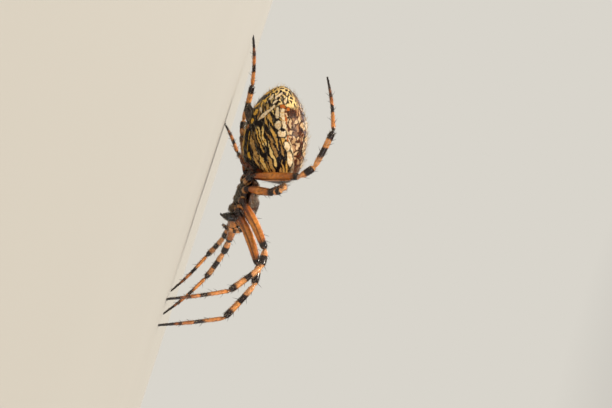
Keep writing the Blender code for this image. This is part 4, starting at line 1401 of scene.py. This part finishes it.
clawRows = []
for strip, ((sideName, number), rings) in enumerate(legRings.items()):
    cap = f"{number}{sideName.capitalize()}"
    rows = ringRows(rings, "legDown", strip, 0.1, density=coat["legDensity"])
    growHairs(f"legDown{cap}", rows, legHair, hairMake)
    length, radius = spines["legSize"]
    rows = spinesOn(rings, spines["leg"], length * legs["girth"][number], radius, strip)
    growHairs(f"legSpines{cap}", rows, spineShell, spineMake)
    # two claws spread at the toe and a small one between them, arched up and over to the ground
    centre, thick, way, *_ = rings[claws["ring"]]
    level = Vector((way.x, way.y, 0)).normalized() + way * claws["level"]
    for turn, reach in claws["turns"]:
        lie = Matrix.Rotation(math.radians(turn), 3, "Z") @ level
        clawRows.append({
            "spot": centre + lie * thick * claws["spread"], "out": (0, 0, 1), "lie": lie, "length": reach,
            "radius": claws["radius"], "lift": claws["lift"], "curl": claws["curl"],
            "chart": stripChart(1, math.pi, strip), "station": 5.99, "tone": 0.2,
        })
growHairs("claws", joinedRows(clawRows), spineShell, clawMake)
for strip, (sideName, rings) in enumerate(feelerRings.items(), len(legRings)):
    cap = sideName.capitalize()
    rows = ringRows(rings, "feelerDown", strip, 0.9)
    growHairs(f"feelerDown{cap}", rows, legHair, hairMake)
    rows = spinesOn(rings, spines["feeler"], *spines["feelerSize"], strip)
    growHairs(f"feelerSpines{cap}", rows, spineShell, spineMake)
print("hairs grown")


# Floor, light and camera

stageSet = {
    "floorRadius": 2.5, "floorEdges": 96, "floorDark": "#b3b0aa", "floorLight": "#b9b6b0",
    # the room round it, by how far up one looks: 0 level, 1 straight up
    "room": ((0.0, "#d9d5cc"), (0.5, "#d9d5cc"), (0.8, "#97948f"), (1.0, "#8b8986")),
    # place, size in the sky in degrees, strength, colour
    "suns": {
        "key": ((-0.1, 0.12, 0.2), 9, 3.6, "#fff4e2"),
        "fill": ((-0.25, -0.12, 0.08), 40, 0.5, "#eef3ff"),
        "rim": ((0.2, 0.12, 0.16), 25, 0.5, "#ffffff"),
    },
}
bpy.context.scene.view_settings.view_transform = "Standard"  # colours show as they are named


def makeBoard():
    # matt painted board: pale, with a faint brushed mottle
    material, tree = newMaterial("paintedBoard", {"Roughness": 0.75})
    coords = addNode(tree, "TexCoord", take="Object")
    mottle = addNode(tree, "TexNoise", {"Vector": coords, "Scale": 60.0, "Detail": 3.0})
    dark, light = (linearColour(stageSet[name]) for name in ("floorDark", "floorLight"))
    return plugIn(material, {
        "Base Color": addNode(tree, "Mix", {0: mottle, 6: dark, 7: light}, 2, data_type="RGBA"),
    })


board = bmesh.new()
bmesh.ops.create_circle(
    board, cap_ends=True, segments=stageSet["floorEdges"], radius=stageSet["floorRadius"]
)
mesh = bpy.data.meshes.new("floor")
board.to_mesh(mesh)
board.free()
mesh.materials.append(makeBoard())
floor = bpy.data.objects.new("floor", mesh)
bpy.context.scene.collection.objects.link(floor)

world = bpy.data.worlds.new("studio")
bpy.context.scene.world = world
world.use_nodes = True
coords = addNode(world.node_tree, "TexCoord", take="Generated")
room = addNode(world.node_tree, "ValToRGB", (addNode(world.node_tree, "SeparateXYZ", (coords,), 2),))
setRamp(room.node, stageSet["room"])
world.node_tree.links.new(room, world.node_tree.nodes["Background"].inputs["Color"])

# the lights are far soft boxes, so that the floor is lit evenly out to its edge
for name, (lampPlace, width, strength, colour) in stageSet["suns"].items():
    light = bpy.data.lights.new(name, "SUN")
    light.angle = math.radians(width)
    light.energy = strength
    light.color = linearColour(colour)[:3]
    lamp = bpy.data.objects.new(name, light)
    bpy.context.scene.collection.objects.link(lamp)
    lamp.location = lampPlace
    lamp.rotation_euler = Vector(lampPlace).to_track_quat("Z", "Y").to_euler()

# The camera looks level across the floor at the spider's right side, turned so that the head points down.
# In the picture, ahead runs down and a little left and up runs right, as on a spider head down in its web.
view = {  # mm, degrees
    "distance": 70.0, "height": 0.8, "span": 61.2, "lean": 17.9, "sensor": 36,
    "bodyRight": -6.0, "bodyAbove": 0.8,  # where the body stands in the picture, from its middle
}
lean = math.radians(view["lean"])
pictureRight = aheadWay * -math.sin(lean) + Vector((0, 0, 1)) * math.cos(lean)
pictureUp = aheadWay * -math.cos(lean) - Vector((0, 0, 1)) * math.sin(lean)
aim = bodyOrigin - pictureRight * view["bodyRight"] - pictureUp * view["bodyAbove"]
eye = Vector((bodyOrigin.x - view["distance"], aim.y, view["height"]))
towardsEye = (eye - aim).normalized()
pictureRight = (pictureRight - towardsEye * pictureRight.dot(towardsEye)).normalized()
pictureUp = towardsEye.cross(pictureRight)
cameraData = bpy.data.cameras.new("camera")
cameraData.sensor_width = view["sensor"]
cameraData.lens = view["sensor"] * (eye - aim).length / view["span"]
cameraData.clip_start = 0.0005
camera = bpy.data.objects.new("camera", cameraData)
bpy.context.scene.collection.objects.link(camera)
cameraTurn = Matrix((pictureRight, pictureUp, towardsEye)).transposed().to_4x4()
camera.matrix_world = Matrix.Translation(eye * mm) @ cameraTurn
bpy.context.scene.camera = camera
print("stage set")
